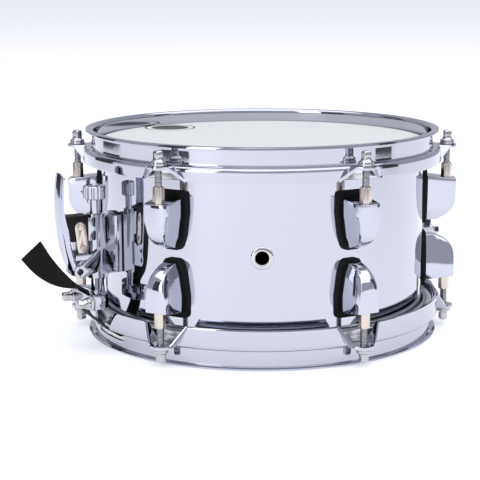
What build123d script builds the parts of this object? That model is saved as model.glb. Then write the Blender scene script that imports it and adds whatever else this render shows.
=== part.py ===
from build123d import *
import math
import os

# A ten-inch snare drum that stands on its snare-side hoop, in millimetres.
# +Z is up and the origin is on the drum's axis, in the plane of the lower rim.
# The snares run along X, with the strainer at -X and the butt at +X. Azimuths
# are in degrees from +X, counter-clockwise seen from above.

# --- Shell -------------------------------------------------------------------
SHELL_RADIUS = 127.0
SHELL_DEPTH = 139.7
SHELL_WALL = 1.2
EDGE_TURN = 4.0  # how far each bearing edge is turned in
RIM_TO_EDGE = 10.35  # from a hoop's rim to the bearing edge below it
VENT_AZIMUTH = 240.0
VENT_HOLE_RADIUS = 5.6
VENT_BORE_RADIUS = 4.9
VENT_FLANGE_RADIUS = 8.3
VENT_FLANGE = 0.9

# --- Hoops and heads -----------------------------------------------------------
LUG_COUNT = 6
FIRST_LUG_AZIMUTH = 30.0
HOOP_METAL = 2.2
HOOP_CLEAR = 7.0  # from the shell to the outside of a hoop's wall
HOOP_WALL_RADIUS = SHELL_RADIUS + HOOP_CLEAR
LIP_OVERHANG = 4.0
SHOULDER_DROP = 14.2  # from the rim to the top of the shoulder
SKIRT_STEP = 6.2  # from the hoop's wall out to its skirt
SKIRT_RADIUS = HOOP_WALL_RADIUS + SKIRT_STEP
BATTER_SKIRT_DROP = 25.1
SNARE_SKIRT_DROP = 30.2
EAR_FLAT = 7.0  # half the flat of an ear
EAR_SLOPE = 9.5  # sideways run of each sloping cheek of an ear
EAR_END_RADIUS = 7.6
GATE_HALF_ANGLE = 9.0
GATE_FLOOR = 7.6  # wall left standing below a snare gate
NOTCH_FOOT_HALF, NOTCH_TOP_HALF = 11.5, 20.0  # the skirt's notch above a gate
HEAD_FILM = 0.3
HEAD_RING_WIDTH = 5.8
HEAD_RING_HEIGHT = 8.8
COLLAR_GAP = 2.1  # between the shell and the head's collar
COLLAR_FILLET = 1.8

# --- Tension rods and lugs -----------------------------------------------------
ROD_OUT = 18.8  # from the shell to each rod's axis
ROD_CIRCLE = SHELL_RADIUS + ROD_OUT
ROD_RADIUS = 2.75
ROD_RUNNING_GAP = 0.05
ROD_HOLE_GAP = 0.6
ROD_LENGTH = 47.0  # shank below the head's flange
ROD_FLANGE_RADIUS = 5.6
ROD_FLANGE = 1.9
KEY_SQUARE = 6.3
KEY_HEIGHT = 7.6
WASHER_RADIUS = 6.0
WASHER = 1.5
NUT_ACROSS = 7.4
NUT_LENGTH = 20.0
NUT_STANDS_OUT = 9.2
LUG_END = 27.7  # from the bearing edge to the lug's open end
LUG_HEIGHT = 36.0
LUG_REACH = 26.0  # from the shell to the lug's outer face
LUG_ROUND_START = 18.0  # where the outer face starts to curve in
LUG_END_SLOPE = 2.8
LUG_BORE_GAP = 0.15
LUG_BORE_DEPTH = 11.0
LUG_SCREW_SPACING = 21.0
GASKET = 3.0
GASKET_SIDE_RIM = 2.6
GASKET_END_RIM = 4.6
GASKET_TIP_RIM = 2.4
LUG_SCREW_RADIUS = 2.0
SCREW_HEAD_RADIUS = 3.9
SCREW_HEAD = 2.6
SCREW_WASHER = 0.8

# --- Strainer ------------------------------------------------------------------
STRAINER_AZIMUTH = 180.0
PISTON_OUT = 17.0  # piston axis, out from the shell
PISTON_RADIUS = 4.35
PISTON_TOP = 113.9
PISTON_FOOT = 60.0
SLIDING_GAP = 0.05
BODY_RADIUS = 6.7
BODY_FOOT = 54.8
BODY_TOP = 103.0
BODY_WEB = 6.5  # half the width of the web that carries the column
FLANGE_HALF = 11.0
FLANGE_METAL = 3.0
PAD = 1.0
PIVOT_OUT = 33.0
PIVOT_Z = 61.6
PIVOT_RADIUS = 2.2
EAR_BOSS_RADIUS = 4.9
FORK_INNER = 6.6  # half the gap between the body's two lever ears
FORK_OUTER = 9.2
KNOB_RADIUS = 8.6
KNOB_HEIGHT = 10.0
KNOB_FLUTES = 12
SPINDLE_RADIUS = 2.0
SPINDLE_FOOT = 37.0
LEVER_HALF = 8.2
LEVER_METAL = 2.4
LEVER_TOP = 135.0
LEVER_SIDE = 4.6  # depth of the lever's side flanges
BLOCK_LOW, BLOCK_HIGH = 84.0, 103.0
BLOCK_IN, BLOCK_OUT_LOW, BLOCK_OUT_HIGH = 25.0, 41.4, 43.2
CROSSBAR_LOW, CROSSBAR_HIGH, CROSSBAR_OUT = 70.4, 74.4, 36.6
BLOCK_HALF = 6.4
BLOCK_PLATE = 1.4
CLAMP_HALF = 21.0
CLAMP_LOW, CLAMP_HIGH = 34.5, 45.0
CLAMP_IN, CLAMP_FACE = 13.6, 27.0
CLAMP_PLATE = 2.6
CLAMP_SCREW_OFFSET = 14.5
NECK_TOP = 57.0
KEY_SCREW_FLANGE_RADIUS = 4.6
KEY_SCREW_SHANK_RADIUS = 2.0
STRAINER_SCREW_HEIGHTS = (66.0, 94.0)
MOUNT_SCREW_RADIUS = 2.4

# --- Butt ----------------------------------------------------------------------
BUTT_AZIMUTH = 0.0
BUTT_FACE = 24.6
BUTT_LOW, BUTT_HIGH = 52.0, 77.0
BUTT_HALF = 21.0
BUTT_SCREW_HEIGHT = 64.4
BUTT_MOUNT_HALF = 7.0

# --- Snares and straps ---------------------------------------------------------
STRAP_HALF = 10.2
STRAP_METAL = 0.8
STRAP_GAP = 0.15
WIRE_COUNT = 16
WIRE_SPACING = 2.3
WIRE_RADIUS = 0.8
WIRE_HALF_LENGTH = 104.0
WIRE_TO_HEAD = 0.05
END_PLATE = 0.8
END_PLATE_LENGTH = 12.0
END_PLATE_HALF = 20.0

# --- Heights and radii that follow ----------------------------------------------
EDGE_LOW = RIM_TO_EDGE
EDGE_HIGH = EDGE_LOW + SHELL_DEPTH
DRUM_HEIGHT = EDGE_HIGH + RIM_TO_EDGE
MIDDLE = DRUM_HEIGHT / 2
SHELL_INNER = SHELL_RADIUS - SHELL_WALL
HOOP_INNER = HOOP_WALL_RADIUS - HOOP_METAL
SHOULDER_FOOT = SHOULDER_DROP + HOOP_METAL
COLLAR_RADIUS = SHELL_RADIUS + COLLAR_GAP + HEAD_FILM
LUG_SEAT = SHELL_RADIUS + GASKET
LUG_BORE_RADIUS = NUT_ACROSS / math.sqrt(3) + LUG_BORE_GAP
AXIS_X = SHELL_RADIUS + PISTON_OUT
PIVOT_X = SHELL_RADIUS + PIVOT_OUT
FACE_X = SHELL_RADIUS + CLAMP_FACE
BUTT_X = SHELL_RADIUS + BUTT_FACE
LUG_AZIMUTHS = [FIRST_LUG_AZIMUTH + 360 / LUG_COUNT * i for i in range(LUG_COUNT)]

BASE = (Align.CENTER, Align.CENTER, Align.MIN)


# --- Small builders. A local frame has X radial outwards and Y along the rim. -----
def around(shape, azimuth):
    """A piece made with X pointing out of the drum, turned to its azimuth."""
    return Rot(0, 0, azimuth) * shape


def post(radius, low, high, x=0.0, y=0.0):
    return Pos(x, y, low) * Cylinder(radius, high - low, align=BASE)


def peg(radius, start, end, y=0.0, z=0.0):
    """A cylinder along X from start to end."""
    return Pos(start, y, z) * Rot(0, 90, 0) * Cylinder(radius, end - start, align=BASE)


def axle(radius, half, x, z):
    """A cylinder along Y, centred on y = 0."""
    return Pos(x, 0, z) * Rot(90, 0, 0) * Cylinder(radius, 2 * half)


def block(x, y, z):
    """A box from three (low, high) pairs."""
    size = [high - low for low, high in (x, y, z)]
    return Pos(x[0], y[0], z[0]) * Box(*size, align=(Align.MIN, Align.MIN, Align.MIN))


def spun(points, fillet_radius=0.0):
    """A ring turned from (radius, z) points."""
    face = make_face(Plane.XZ * Polyline(*points, close=True))
    if fillet_radius:
        face = fillet(face.vertices(), fillet_radius)
    return revolve(face, Axis.Z)


def side_plate(points, y_low, y_high):
    """A flat plate from (x, z) points, between two places along Y."""
    face = make_face(Plane.XZ * Polyline(*points, close=True))
    return Pos(0, y_low, 0) * extrude(face, y_high - y_low, dir=(0, 1, 0))


def mirrored_to_snare_side(shape):
    return mirror(shape, Plane.XY.offset(MIDDLE))


def group(shapes):
    """Separate solids that share one node."""
    return Compound(children=[solid for shape in shapes for solid in shape.solids()])


# --- Shell and vent ---------------------------------------------------------------
def make_shell():
    turned = SHELL_WALL * 0.8
    half = [
        (SHELL_RADIUS, MIDDLE),
        (SHELL_RADIUS, EDGE_HIGH),
        (SHELL_INNER, EDGE_HIGH),
        (SHELL_INNER - EDGE_TURN, EDGE_HIGH - EDGE_TURN),
        (SHELL_INNER - EDGE_TURN, EDGE_HIGH - EDGE_TURN - turned),
        (SHELL_INNER, EDGE_HIGH - turned - SHELL_WALL),
        (SHELL_INNER, MIDDLE),
    ]
    upper = spun(half)
    shell = upper + mirrored_to_snare_side(upper)
    shell -= around(peg(VENT_HOLE_RADIUS, SHELL_INNER - 5, SHELL_RADIUS + 5, z=MIDDLE), VENT_AZIMUTH)
    for azimuth, z in lug_screw_places():
        shell -= around(peg(LUG_SCREW_RADIUS, SHELL_INNER - 3, SHELL_RADIUS + 3, z=z), azimuth)
    for azimuth, y, z in mount_screw_places():
        hole = peg(MOUNT_SCREW_RADIUS, SHELL_INNER - 3, SHELL_RADIUS + 3, y, z)
        shell -= around(hole, azimuth)
    return shell


def make_vent_grommet():
    outer = SHELL_RADIUS + VENT_FLANGE
    inner = SHELL_INNER - VENT_FLANGE
    barrel = peg(VENT_HOLE_RADIUS, inner, outer, z=MIDDLE)
    flange = peg(VENT_FLANGE_RADIUS, SHELL_RADIUS - 2, outer, z=MIDDLE)
    flange -= post(SHELL_RADIUS, 0, DRUM_HEIGHT)
    clinch = peg(VENT_FLANGE_RADIUS - 1, inner, SHELL_INNER + 1, z=MIDDLE)
    clinch &= post(SHELL_INNER, 0, DRUM_HEIGHT)
    grommet = barrel + flange + clinch
    grommet -= peg(VENT_BORE_RADIUS, inner - 1, outer + 1, z=MIDDLE)
    return around(grommet, VENT_AZIMUTH)


# --- Hoops ------------------------------------------------------------------------
def hoop_ring(skirt_drop):
    corner = HOOP_METAL * 0.4
    wall, lip = HOOP_WALL_RADIUS, HOOP_WALL_RADIUS + LIP_OVERHANG
    skirt_inner = SKIRT_RADIUS - HOOP_METAL
    return spun(
        [
            (HOOP_INNER, 0),
            (lip, 0),
            (lip, -HOOP_METAL),
            (wall, -HOOP_METAL),
            (wall, -SHOULDER_DROP),
            (SKIRT_RADIUS, -SHOULDER_DROP),
            (SKIRT_RADIUS, -skirt_drop),
            (skirt_inner, -skirt_drop),
            (skirt_inner, -SHOULDER_FOOT),
            (HOOP_INNER, -SHOULDER_FOOT),
        ],
        corner,
    )


def hoop_ear(skirt_drop):
    """One pressed ear: a flat tab for the rod with a sloping cheek on each side."""
    flat, foot = EAR_FLAT, EAR_FLAT + EAR_SLOPE
    metal = HOOP_METAL
    band = [
        (-foot - metal, -skirt_drop),
        (-flat - metal / 2, -SHOULDER_DROP),
        (flat + metal / 2, -SHOULDER_DROP),
        (foot + metal, -skirt_drop),
        (foot, -skirt_drop),
        (flat, -SHOULDER_FOOT),
        (-flat, -SHOULDER_FOOT),
        (-foot, -skirt_drop),
    ]
    face = make_face(Plane.YZ * Polyline(*band, close=True))
    tab_end = ROD_CIRCLE + EAR_END_RADIUS
    ear = Pos(HOOP_WALL_RADIUS, 0, 0) * extrude(face, tab_end - HOOP_WALL_RADIUS, dir=(1, 0, 0))
    reach = foot + 2 * metal
    plan = make_face(
        Polyline(
            (HOOP_WALL_RADIUS, -reach),
            (SKIRT_RADIUS, -reach),
            (ROD_CIRCLE, -EAR_END_RADIUS),
            (ROD_CIRCLE, EAR_END_RADIUS),
            (SKIRT_RADIUS, reach),
            (HOOP_WALL_RADIUS, reach),
            close=True,
        )
    ) + Pos(ROD_CIRCLE, 0) * Circle(EAR_END_RADIUS)
    ear &= Pos(0, 0, -skirt_drop) * extrude(plan, skirt_drop)
    return ear - post(SKIRT_RADIUS - HOOP_METAL, -skirt_drop - 1, 1)


def ear_notch(skirt_drop):
    """What the press takes out of the skirt below an ear."""
    foot = EAR_FLAT + EAR_SLOPE
    below = skirt_drop + 1
    spread = EAR_SLOPE / (skirt_drop - SHOULDER_FOOT)
    points = [
        (-foot - spread, -below),
        (-EAR_FLAT, -SHOULDER_FOOT),
        (EAR_FLAT, -SHOULDER_FOOT),
        (foot + spread, -below),
    ]
    face = make_face(Plane.YZ * Polyline(*points, close=True))
    return Pos(HOOP_WALL_RADIUS, 0, 0) * extrude(face, 2 * EAR_END_RADIUS + 12, dir=(1, 0, 0))


def make_hoop(skirt_drop, gate_azimuths):
    """A triple-flanged hoop with its rim at z = 0 and its skirt hanging down."""
    hoop = hoop_ring(skirt_drop)
    for azimuth in LUG_AZIMUTHS:
        hoop -= around(ear_notch(skirt_drop), azimuth)
    for azimuth in LUG_AZIMUTHS:
        hoop += around(hoop_ear(skirt_drop), azimuth)
    hole = post(ROD_RADIUS + ROD_HOLE_GAP, -SHOULDER_FOOT - 1, -SHOULDER_DROP + 1, ROD_CIRCLE)
    for azimuth in LUG_AZIMUTHS:
        hoop -= around(hole, azimuth)
    for azimuth in gate_azimuths:
        hoop -= around(snare_gate(skirt_drop), azimuth)
    return hoop


def snare_gate(skirt_drop):
    """A window in the wall and, above it, a sloping notch in the shoulder and skirt."""
    reach = HOOP_WALL_RADIUS + 1
    half = reach * math.tan(math.radians(GATE_HALF_ANGLE))
    wedge = make_face(Polyline((0, 0), (reach, -half), (reach, half), close=True))
    window = Pos(0, 0, -SHOULDER_DROP) * extrude(wedge, SHOULDER_DROP - GATE_FLOOR)
    notch = [
        (-NOTCH_TOP_HALF - 1, -skirt_drop - 1),
        (-NOTCH_FOOT_HALF, -SHOULDER_DROP - 2),
        (-NOTCH_FOOT_HALF, -GATE_FLOOR),
        (NOTCH_FOOT_HALF, -GATE_FLOOR),
        (NOTCH_FOOT_HALF, -SHOULDER_DROP - 2),
        (NOTCH_TOP_HALF + 1, -skirt_drop - 1),
    ]
    face = make_face(Plane.YZ * Polyline(*notch, close=True))
    return window + Pos(HOOP_INNER - 6, 0, 0) * extrude(face, 30, dir=(1, 0, 0))


# --- Heads ------------------------------------------------------------------------
def make_head_film():
    """The film lies on the bearing edge and turns down into its ring."""
    foot = DRUM_HEIGHT - SHOULDER_FOOT - HEAD_RING_HEIGHT
    outer = post(COLLAR_RADIUS, foot, EDGE_HIGH + HEAD_FILM)
    outer = fillet(outer.edges().group_by(Axis.Z)[-1], COLLAR_FILLET + HEAD_FILM)
    inner = post(COLLAR_RADIUS - HEAD_FILM, foot, EDGE_HIGH)
    inner = fillet(inner.edges().group_by(Axis.Z)[-1], COLLAR_FILLET)
    return outer - inner


def make_head_ring():
    top = DRUM_HEIGHT - SHOULDER_FOOT
    foot = top - HEAD_RING_HEIGHT
    return spun(
        [
            (COLLAR_RADIUS, foot),
            (COLLAR_RADIUS + HEAD_RING_WIDTH, foot),
            (COLLAR_RADIUS + HEAD_RING_WIDTH, top),
            (COLLAR_RADIUS, top),
        ]
    )


# --- Lugs -------------------------------------------------------------------------
LUG_TOP = EDGE_HIGH - LUG_END
LUG_BASE_OUTLINE = [(10.0, 0.0), (10.4, 11.0), (8.0, 28.0), (4.6, LUG_HEIGHT)]
LUG_FACE_OUTLINE = [(8.2, 0.0), (8.6, 10.0), (6.2, 25.0), (3.4, LUG_HEIGHT - 4.0)]


def lug_section(outline, x, widen=0.0, lengthen=(0.0, 0.0)):
    """A closed outline in the plane X = x from half widths and distances below the top."""
    last = len(outline) - 1
    right = []
    for i, (half, drop) in enumerate(outline):
        shift = lengthen[0] if i == 0 else -lengthen[1] if i == last else 0.0
        right.append((half + widen, LUG_TOP - drop + shift))
    left = [(-y, z) for y, z in reversed(right)]
    return make_face(Plane.YZ.offset(x) * Polyline(*right, *left, close=True))


def make_lug():
    """A cast casing that is wide at the shell, with a flat end that takes the swivel nut."""
    outer = SHELL_RADIUS + LUG_REACH
    start = SHELL_RADIUS - 1
    lug = loft([lug_section(LUG_BASE_OUTLINE, start), lug_section(LUG_FACE_OUTLINE, outer)], ruled=True)
    foot = LUG_TOP - LUG_HEIGHT
    face_low = LUG_TOP - LUG_ROUND_START
    top = Line((start, LUG_TOP), (outer, LUG_TOP - LUG_END_SLOPE))
    front = Line((outer, LUG_TOP - LUG_END_SLOPE), (outer, face_low))
    tip = outer - LUG_REACH * 0.8
    curve = Spline((outer, face_low), (tip, foot), tangents=((0, -1), (-1, 0)))
    bottom = Line((tip, foot), (start, foot))
    back = Line((start, foot), (start, LUG_TOP))
    profile = make_face(Plane.XZ * (Curve() + [top, front, curve, bottom, back]))
    lug &= Pos(0, -15, 0) * extrude(profile, 30, dir=(0, 1, 0))
    lug -= post(LUG_SEAT, 0, DRUM_HEIGHT)
    nut_floor = LUG_TOP - LUG_BORE_DEPTH
    lug -= post(LUG_BORE_RADIUS, nut_floor, LUG_TOP + 1, ROD_CIRCLE)
    lug -= post(ROD_RADIUS + ROD_HOLE_GAP, rod_foot() - 2, nut_floor + 1, ROD_CIRCLE)
    for z in lug_screw_heights():
        lug -= peg(LUG_SCREW_RADIUS, LUG_SEAT - 2, LUG_SEAT + 6, z=z)
    return lug


def make_gasket():
    """A rubber pad a little larger than the lug that it carries."""
    rims = (GASKET_END_RIM, GASKET_TIP_RIM)
    outline = lug_section(LUG_BASE_OUTLINE, SHELL_RADIUS - 3, GASKET_SIDE_RIM, rims)
    pad = extrude(outline, GASKET + 5, dir=(1, 0, 0))
    pad &= post(LUG_SEAT, 0, DRUM_HEIGHT)
    pad -= post(SHELL_RADIUS, 0, DRUM_HEIGHT)
    for z in lug_screw_heights():
        pad -= peg(LUG_SCREW_RADIUS, SHELL_RADIUS - 2, LUG_SEAT + 2, z=z)
    return pad


def lug_screw_heights():
    middle = LUG_TOP - LUG_HEIGHT / 2
    return (middle - LUG_SCREW_SPACING / 2, middle + LUG_SCREW_SPACING / 2)


def lug_screw_places():
    heights = [*lug_screw_heights(), *(DRUM_HEIGHT - z for z in lug_screw_heights())]
    return [(azimuth, z) for azimuth in LUG_AZIMUTHS for z in heights]


def inside_washer(radius, hole, y, z):
    """A washer curved to the inside of the shell."""
    washer = peg(radius, SHELL_INNER - 4, SHELL_INNER + 2, y, z)
    washer &= post(SHELL_INNER, 0, DRUM_HEIGHT) - post(SHELL_INNER - SCREW_WASHER, 0, DRUM_HEIGHT)
    return washer - peg(hole, SHELL_INNER - 6, SHELL_INNER + 4, y, z)


def inside_screw(radius, tip, y, z):
    """A screw put in from inside the shell, its head on a curved washer."""
    seat = SHELL_INNER - SCREW_WASHER
    head = peg(SCREW_HEAD_RADIUS, seat - SCREW_HEAD, seat + 1, y, z)
    head &= post(seat, 0, DRUM_HEIGHT)
    return head + peg(radius, seat - 1, tip, y, z)


def lug_screw(z):
    return inside_screw(LUG_SCREW_RADIUS, LUG_SEAT + 5.5, 0, z)


def lug_screw_washer(z):
    return inside_washer(SCREW_HEAD_RADIUS + 1, LUG_SCREW_RADIUS, 0, z)


# --- Tension rods -----------------------------------------------------------------
def ear_top():
    return DRUM_HEIGHT - SHOULDER_DROP


def rod_foot():
    return ear_top() + WASHER - ROD_LENGTH


def key_head(flange_radius):
    """A drum-key head standing on z = 0: a flange, a cone and a rounded square."""
    flange = post(flange_radius, 0, ROD_FLANGE)
    flange = fillet(flange.edges().group_by(Axis.Z)[-1], ROD_FLANGE * 0.45)
    square = Pos(0, 0, ROD_FLANGE - 0.5) * Box(KEY_SQUARE, KEY_SQUARE, KEY_HEIGHT + 0.5, align=BASE)
    crown = Sphere(KEY_HEIGHT * 1.02)
    square &= Pos(0, 0, ROD_FLANGE + KEY_HEIGHT - KEY_HEIGHT * 1.02) * crown + post(
        KEY_SQUARE, 0, ROD_FLANGE + KEY_HEIGHT * 0.5
    )
    square &= post(KEY_SQUARE * 0.62, 0, ROD_FLANGE + KEY_HEIGHT)
    cone = Pos(0, 0, ROD_FLANGE - 0.2) * Cone(flange_radius * 0.86, KEY_SQUARE / 2, 2.2, align=BASE)
    return flange + cone + square


def make_rod():
    seat = ear_top() + WASHER
    head = Pos(ROD_CIRCLE, 0, seat) * key_head(ROD_FLANGE_RADIUS)
    shank = post(ROD_RADIUS, rod_foot(), seat + 0.5, ROD_CIRCLE)
    return head + chamfer(shank.edges().group_by(Axis.Z)[0], ROD_RADIUS * 0.3)


def make_rod_washer():
    top = ear_top()
    ring = post(WASHER_RADIUS, top, top + WASHER, ROD_CIRCLE)
    return ring - post(ROD_RADIUS + ROD_HOLE_GAP / 2, top - 1, top + WASHER + 1, ROD_CIRCLE)


def make_swivel_nut():
    foot = LUG_TOP - LUG_BORE_DEPTH
    hexagon = RegularPolygon(NUT_ACROSS / 2, 6, major_radius=False)
    nut = Pos(ROD_CIRCLE, 0, foot) * extrude(hexagon, NUT_LENGTH)
    return nut - post(ROD_RADIUS + ROD_RUNNING_GAP, foot - 1, foot + NUT_LENGTH + 1, ROD_CIRCLE)


# --- Strainer: fixed pieces -------------------------------------------------------
def mount_screw_places():
    strainer = [(STRAINER_AZIMUTH, 0.0, z) for z in STRAINER_SCREW_HEIGHTS]
    middle = (BUTT_LOW + BUTT_HIGH) / 2
    butt = [(BUTT_AZIMUTH, y, middle) for y in (-BUTT_MOUNT_HALF, BUTT_MOUNT_HALF)]
    return strainer + butt


def make_strainer_body():
    """A cast column with a bore for the piston and a fork for the lever."""
    seat = SHELL_RADIUS + PAD
    column = post(BODY_RADIUS, BODY_FOOT, BODY_TOP, AXIS_X)
    web = block((SHELL_RADIUS - 1, AXIS_X), (-BODY_WEB, BODY_WEB), (BODY_FOOT + 3, BODY_TOP - 2))
    flange = block(
        (SHELL_RADIUS - 3, seat + FLANGE_METAL),
        (-FLANGE_HALF, FLANGE_HALF),
        (BODY_FOOT + 4, BODY_TOP - 1),
    )
    fork = side_plate(
        [
            (AXIS_X, BODY_FOOT + 6),
            (PIVOT_X, PIVOT_Z - EAR_BOSS_RADIUS),
            (PIVOT_X, PIVOT_Z + EAR_BOSS_RADIUS),
            (AXIS_X, BODY_FOOT + 24),
        ],
        -FORK_OUTER,
        FORK_OUTER,
    )
    boss = axle(EAR_BOSS_RADIUS, FORK_OUTER, PIVOT_X, PIVOT_Z)
    slot = block(
        (AXIS_X + BODY_RADIUS - 0.6, PIVOT_X + 8), (-FORK_INNER, FORK_INNER), (BODY_FOOT - 3, BODY_TOP - 22)
    )
    bar = block(
        (AXIS_X + 2, SHELL_RADIUS + CROSSBAR_OUT), (-FORK_OUTER, FORK_OUTER), (CROSSBAR_LOW, CROSSBAR_HIGH)
    )
    cheek = block(
        (AXIS_X + 2, SHELL_RADIUS + BLOCK_IN), (-BLOCK_HALF, BLOCK_HALF), (BLOCK_LOW, BLOCK_HIGH - 2)
    )
    body = column + web + flange + (fork + boss - slot) + bar + cheek
    body -= post(seat, 0, DRUM_HEIGHT)
    body -= post(PISTON_RADIUS + SLIDING_GAP, 0, DRUM_HEIGHT, AXIS_X)
    body -= axle(PIVOT_RADIUS, FORK_OUTER + 5, PIVOT_X, PIVOT_Z)
    for z in STRAINER_SCREW_HEIGHTS:
        body -= peg(MOUNT_SCREW_RADIUS, seat - 3, seat + 7, z=z)
    return body


def make_strainer_pad():
    pad = block(
        (SHELL_RADIUS - 2, SHELL_RADIUS + PAD + 1), (-FLANGE_HALF, FLANGE_HALF), (BODY_FOOT + 4, BODY_TOP - 1)
    )
    pad &= post(SHELL_RADIUS + PAD, 0, DRUM_HEIGHT)
    pad -= post(SHELL_RADIUS, 0, DRUM_HEIGHT)
    for z in STRAINER_SCREW_HEIGHTS:
        pad -= peg(MOUNT_SCREW_RADIUS, SHELL_RADIUS - 3, SHELL_RADIUS + 5, z=z)
    return pad


def make_stop_block():
    """A nylon buffer that the closed lever leans on."""
    sides = [(BLOCK_IN, BLOCK_LOW), (BLOCK_OUT_LOW, BLOCK_LOW), (BLOCK_OUT_HIGH, BLOCK_HIGH), (BLOCK_IN, BLOCK_HIGH)]
    points = [(SHELL_RADIUS + u, z) for u, z in sides]
    rest = side_plate(points, -BLOCK_HALF, BLOCK_HALF)
    for x, z in stop_plate_screw_places():
        rest -= axle(1.3, 30, x, z)
    return rest


def stop_plate_screw_places():
    x = SHELL_RADIUS + 31.0
    return [(x + 0.9, BLOCK_HIGH - 8.4), (x - 0.9, BLOCK_LOW - 4.9)]


def make_stop_plate():
    """A nickel strap on the near side that ties the buffer to the crossbar."""
    (x_high, z_high), (x_low, z_low) = stop_plate_screw_places()
    face = SlotCenterToCenter(math.hypot(x_high - x_low, z_high - z_low), 8.6)
    lean = math.degrees(math.atan2(x_high - x_low, z_high - z_low))
    plate = extrude(face, BLOCK_PLATE)
    plate = Rot(0, lean, 0) * Rot(90, 0, 0) * Rot(0, 0, 90) * plate
    middle = ((x_high + x_low) / 2, (z_high + z_low) / 2)
    plate = Pos(middle[0], BLOCK_HALF + BLOCK_PLATE, middle[1]) * plate
    for x, z in stop_plate_screw_places():
        plate -= axle(1.3, 30, x, z)
    return plate


def make_stop_carrier():
    """The spacer behind the strap's lower screw, standing on the crossbar."""
    (_, _), (x_low, z_low) = stop_plate_screw_places()
    spacer = block((x_low - 3.4, x_low + 3.4), (-BLOCK_HALF, BLOCK_HALF), (CROSSBAR_HIGH, BLOCK_LOW))
    return spacer - axle(1.3, 30, x_low, z_low)


def make_stop_plate_screws():
    screws = []
    for x, z in stop_plate_screw_places():
        face = BLOCK_HALF + BLOCK_PLATE
        head = Pos(x, face, z) * Rot(-90, 0, 0) * Cylinder(2.3, 1.4, align=BASE)
        head = fillet(head.edges().group_by(Axis.Y)[-1], 0.6)
        shank = Pos(x, face - 5, z) * Rot(-90, 0, 0) * Cylinder(1.3, 5.2, align=BASE)
        screws.append(head + shank)
    return screws


# --- Strainer: moving pieces ------------------------------------------------------
LEVER_LINE = [(38.6, 62.0), (43.4, 78.0), (46.2, 98.0), (46.6, 116.0), (44.9, LEVER_TOP)]


def make_lever():
    """A long curved blade with shallow side flanges along its lower half."""
    outer = Spline(*[(SHELL_RADIUS + u, z) for u, z in LEVER_LINE])
    inner = Spline(*[(SHELL_RADIUS + u - LEVER_METAL, z) for u, z in LEVER_LINE])
    top = Line(outer @ 1, inner @ 1)
    foot = Line(inner @ 0, outer @ 0)
    blade = make_face(Plane.XZ * (Curve() + [outer, top, inner, foot]))
    blade = Pos(0, -LEVER_HALF, 0) * extrude(blade, 2 * LEVER_HALF, dir=(0, 1, 0))
    deep = Spline(*[(SHELL_RADIUS + u - LEVER_SIDE, z) for u, z in LEVER_LINE])
    skin = make_face(
        Plane.XZ * (Curve() + [outer, Line(outer @ 1, deep @ 1), deep, Line(deep @ 0, outer @ 0)])
    )
    flanges = Pos(0, -LEVER_HALF, 0) * extrude(skin, 2 * LEVER_HALF, dir=(0, 1, 0))
    flanges -= block((0, 999), (-LEVER_HALF + 1.4, LEVER_HALF - 1.4), (0, 999))
    flanges &= block((0, 999), (-99, 99), (0, 100.0))
    clear = EAR_BOSS_RADIUS + 0.5
    return blade + flanges - axle(clear, LEVER_HALF + 5, PIVOT_X, PIVOT_Z)


def make_lever_arm():
    """The casting inside the lever that turns on the pivot pin."""
    half = FORK_INNER - 0.3
    inside = [(SHELL_RADIUS + u - LEVER_METAL, z) for u, z in LEVER_LINE[:2]]
    arm = side_plate(
        [
            (PIVOT_X, PIVOT_Z - EAR_BOSS_RADIUS + 0.6),
            (PIVOT_X + 3.0, PIVOT_Z - EAR_BOSS_RADIUS + 0.9),
            (inside[0][0] + 0.6, inside[0][1] + 1.5),
            (inside[1][0] + 0.6, inside[1][1]),
            (SHELL_RADIUS + 38.9, PIVOT_Z + 9.5),
            (PIVOT_X, PIVOT_Z + EAR_BOSS_RADIUS - 0.6),
        ],
        -half,
        half,
    )
    arm += axle(EAR_BOSS_RADIUS - 0.6, half, PIVOT_X, PIVOT_Z)
    arm -= make_lever()
    return arm - axle(PIVOT_RADIUS + ROD_RUNNING_GAP, 20, PIVOT_X, PIVOT_Z)


def make_pivot_pin():
    return axle(PIVOT_RADIUS, FORK_OUTER - 1.2, PIVOT_X, PIVOT_Z)


def make_piston():
    piston = post(PISTON_RADIUS, PISTON_FOOT, PISTON_TOP, AXIS_X)
    return piston - post(SPINDLE_RADIUS + SLIDING_GAP, 0, DRUM_HEIGHT, AXIS_X)


def make_knob():
    """A fluted thumb knob fixed on the spindle, above the piston."""
    low = PISTON_TOP + SLIDING_GAP
    knob = post(KNOB_RADIUS, low, low + KNOB_HEIGHT, AXIS_X)
    knob = chamfer(knob.edges().filter_by(GeomType.CIRCLE), 0.7)
    for i in range(KNOB_FLUTES):
        angle = 2 * math.pi * i / KNOB_FLUTES
        x = AXIS_X + (KNOB_RADIUS + 0.55) * math.cos(angle)
        knob -= post(1.1, low - 1, low + KNOB_HEIGHT + 1, x, (KNOB_RADIUS + 0.55) * math.sin(angle))
    return knob - post(SPINDLE_RADIUS, 0, DRUM_HEIGHT, AXIS_X)


def make_spindle():
    top = PISTON_TOP + SLIDING_GAP + KNOB_HEIGHT
    spindle = post(SPINDLE_RADIUS, SPINDLE_FOOT, top + 0.8, AXIS_X)
    return spindle + post(SPINDLE_RADIUS + 1.2, top, top + 0.8, AXIS_X)


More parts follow.
